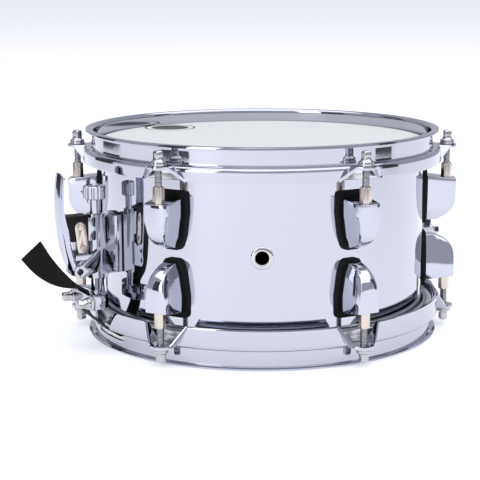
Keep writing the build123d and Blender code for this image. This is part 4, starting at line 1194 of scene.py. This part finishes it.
def strap_run(clamped, bend_z, end_z):
    upright = under + 0.0245 * bend_z
    return [
        (plate_x, under, 0), (0.110, under, 0), (0.122, under, 0), (0.1285, under, 0),
        (0.1320, under + 0.0018, 0), (0.1385, under + 0.0075, 0),
        (0.1455, under + 0.0135 * bend_z, 0), (clamped - 0.0022, under + 0.0195 * bend_z, 0),
        (clamped, upright, 0), (clamped, (upright + end_z) / 2, 0), (clamped, end_z, 0),
    ]


strap_in_clamp = SHELL_RADIUS + 0.02755
held, held_length = ribbon("strainer_ribbon", strap_run(strap_in_clamp, 1.0, 0.047), math.pi)
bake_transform(held)
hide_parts("strainer_strap")

tail_stations = [
    (strap_in_clamp, 0.047, 0), (SHELL_RADIUS + 0.0345, 0.0510, 10),
    (SHELL_RADIUS + 0.0480, 0.0585, 42), (SHELL_RADIUS + 0.0590, 0.0680, 66),
    (SHELL_RADIUS + 0.0680, 0.0800, 84),
]
tail, tail_length = ribbon("strainer_ribbon_tail", tail_stations, math.pi)
fitted(tail, "lift_piston", "black_strap", "strainer_strap")
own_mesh(tail)

butt_in_clamp = SHELL_RADIUS + 0.02515
butt_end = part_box("butt_strap")[1].z
butt_ribbon, butt_length = ribbon("butt_ribbon", strap_run(butt_in_clamp, 0.92, butt_end), 0.0)
fitted(butt_ribbon, "drum", "black_strap", "butt_strap")


# --- Snare wires --------------------------------------------------------------------
# Sixteen coiled steel strands lie along the snare head, soldered to a plate at each
# end. The middle strands stop where the straps begin.
snare_steel = satin_metal("snare_steel", (0.64, 0.64, 0.65), 0.2)
coils = Tree("coiled_strands")
strands = coils.size("Strands", "NodeSocketInt")
gap = coils.size("Spacing")
reach = coils.size("Half length")
coil_radius = coils.size("Coil radius")
wire = coils.size("Wire radius")
lead = coils.size("Lead")
steel_finish = coils.size("Steel", "NodeSocketMaterial")
full = coils.maths("MULTIPLY", reach, 2.0)
helix = coils.node(
    "GeometryNodeCurveSpiral",
    {
        "Resolution": 8, "Rotations": coils.maths("DIVIDE", full, lead),
        "Start Radius": coil_radius, "End Radius": coil_radius, "Height": full,
    },
)
round_wire = coils.node("GeometryNodeCurvePrimitiveCircle", {"Resolution": 3, "Radius": wire})
coil = coils.node(
    "GeometryNodeCurveToMesh",
    {"Curve": helix.outputs[0], "Profile Curve": round_wire.outputs[0], "Fill Caps": True},
)
back = coils.node("ShaderNodeCombineXYZ", {"X": coils.maths("MULTIPLY", reach, -1.0)})
laid = coils.node(
    "GeometryNodeTransform",
    {
        "Geometry": coil.outputs[0], "Translation": back.outputs[0],
        "Rotation": (0, math.pi / 2, 0),
    },
)
strand = coils.node("GeometryNodeInputIndex").outputs[0]
middle_strand = coils.maths("DIVIDE", coils.maths("SUBTRACT", strands, 1.0), 2.0)
row = coils.maths("MULTIPLY", coils.maths("SUBTRACT", strand, middle_strand), gap)
seats = coils.node(
    "GeometryNodePoints",
    {"Count": strands, "Position": coils.node("ShaderNodeCombineXYZ", {"Y": row}).outputs[0]},
)
laid_out = coils.node(
    "GeometryNodeInstanceOnPoints", {"Points": seats.outputs[0], "Instance": laid.outputs[0]}
)
coils.finish(laid_out.outputs[0], steel_finish)

wire_low, wire_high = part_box("snare_wires")
coil_size = (wire_high.z - wire_low.z) / 2
STRAND_GAP, WIRE_RADIUS = 0.0023, 0.0002
common = {
    "Spacing": STRAND_GAP, "Coil radius": coil_size - WIRE_RADIUS,
    "Wire radius": WIRE_RADIUS, "Lead": 0.0016, "Steel": snare_steel,
}
middle_strands = coils.grow("middle_strands", {**common, "Strands": 10, "Half length": 0.0975})
middle_strands.data.transform(Matrix.Translation((0, 0, (wire_low.z + wire_high.z) / 2)))
fitted(shade(middle_strands, 60), "drum", "snare_steel", "snare_wires")
outer = coils.grow("outer_strands", {**common, "Strands": 3, "Half length": 0.104})
outer.data.transform(Matrix.Translation((0, 6.5 * STRAND_GAP, (wire_low.z + wire_high.z) / 2)))
other_side = linked("outer_strands_far", outer.data.copy())
other_side.data.transform(Matrix.Translation((0, -13 * STRAND_GAP, 0)))
for strand_group in (outer, other_side):
    fitted(shade(strand_group, 60), "drum", "snare_steel")
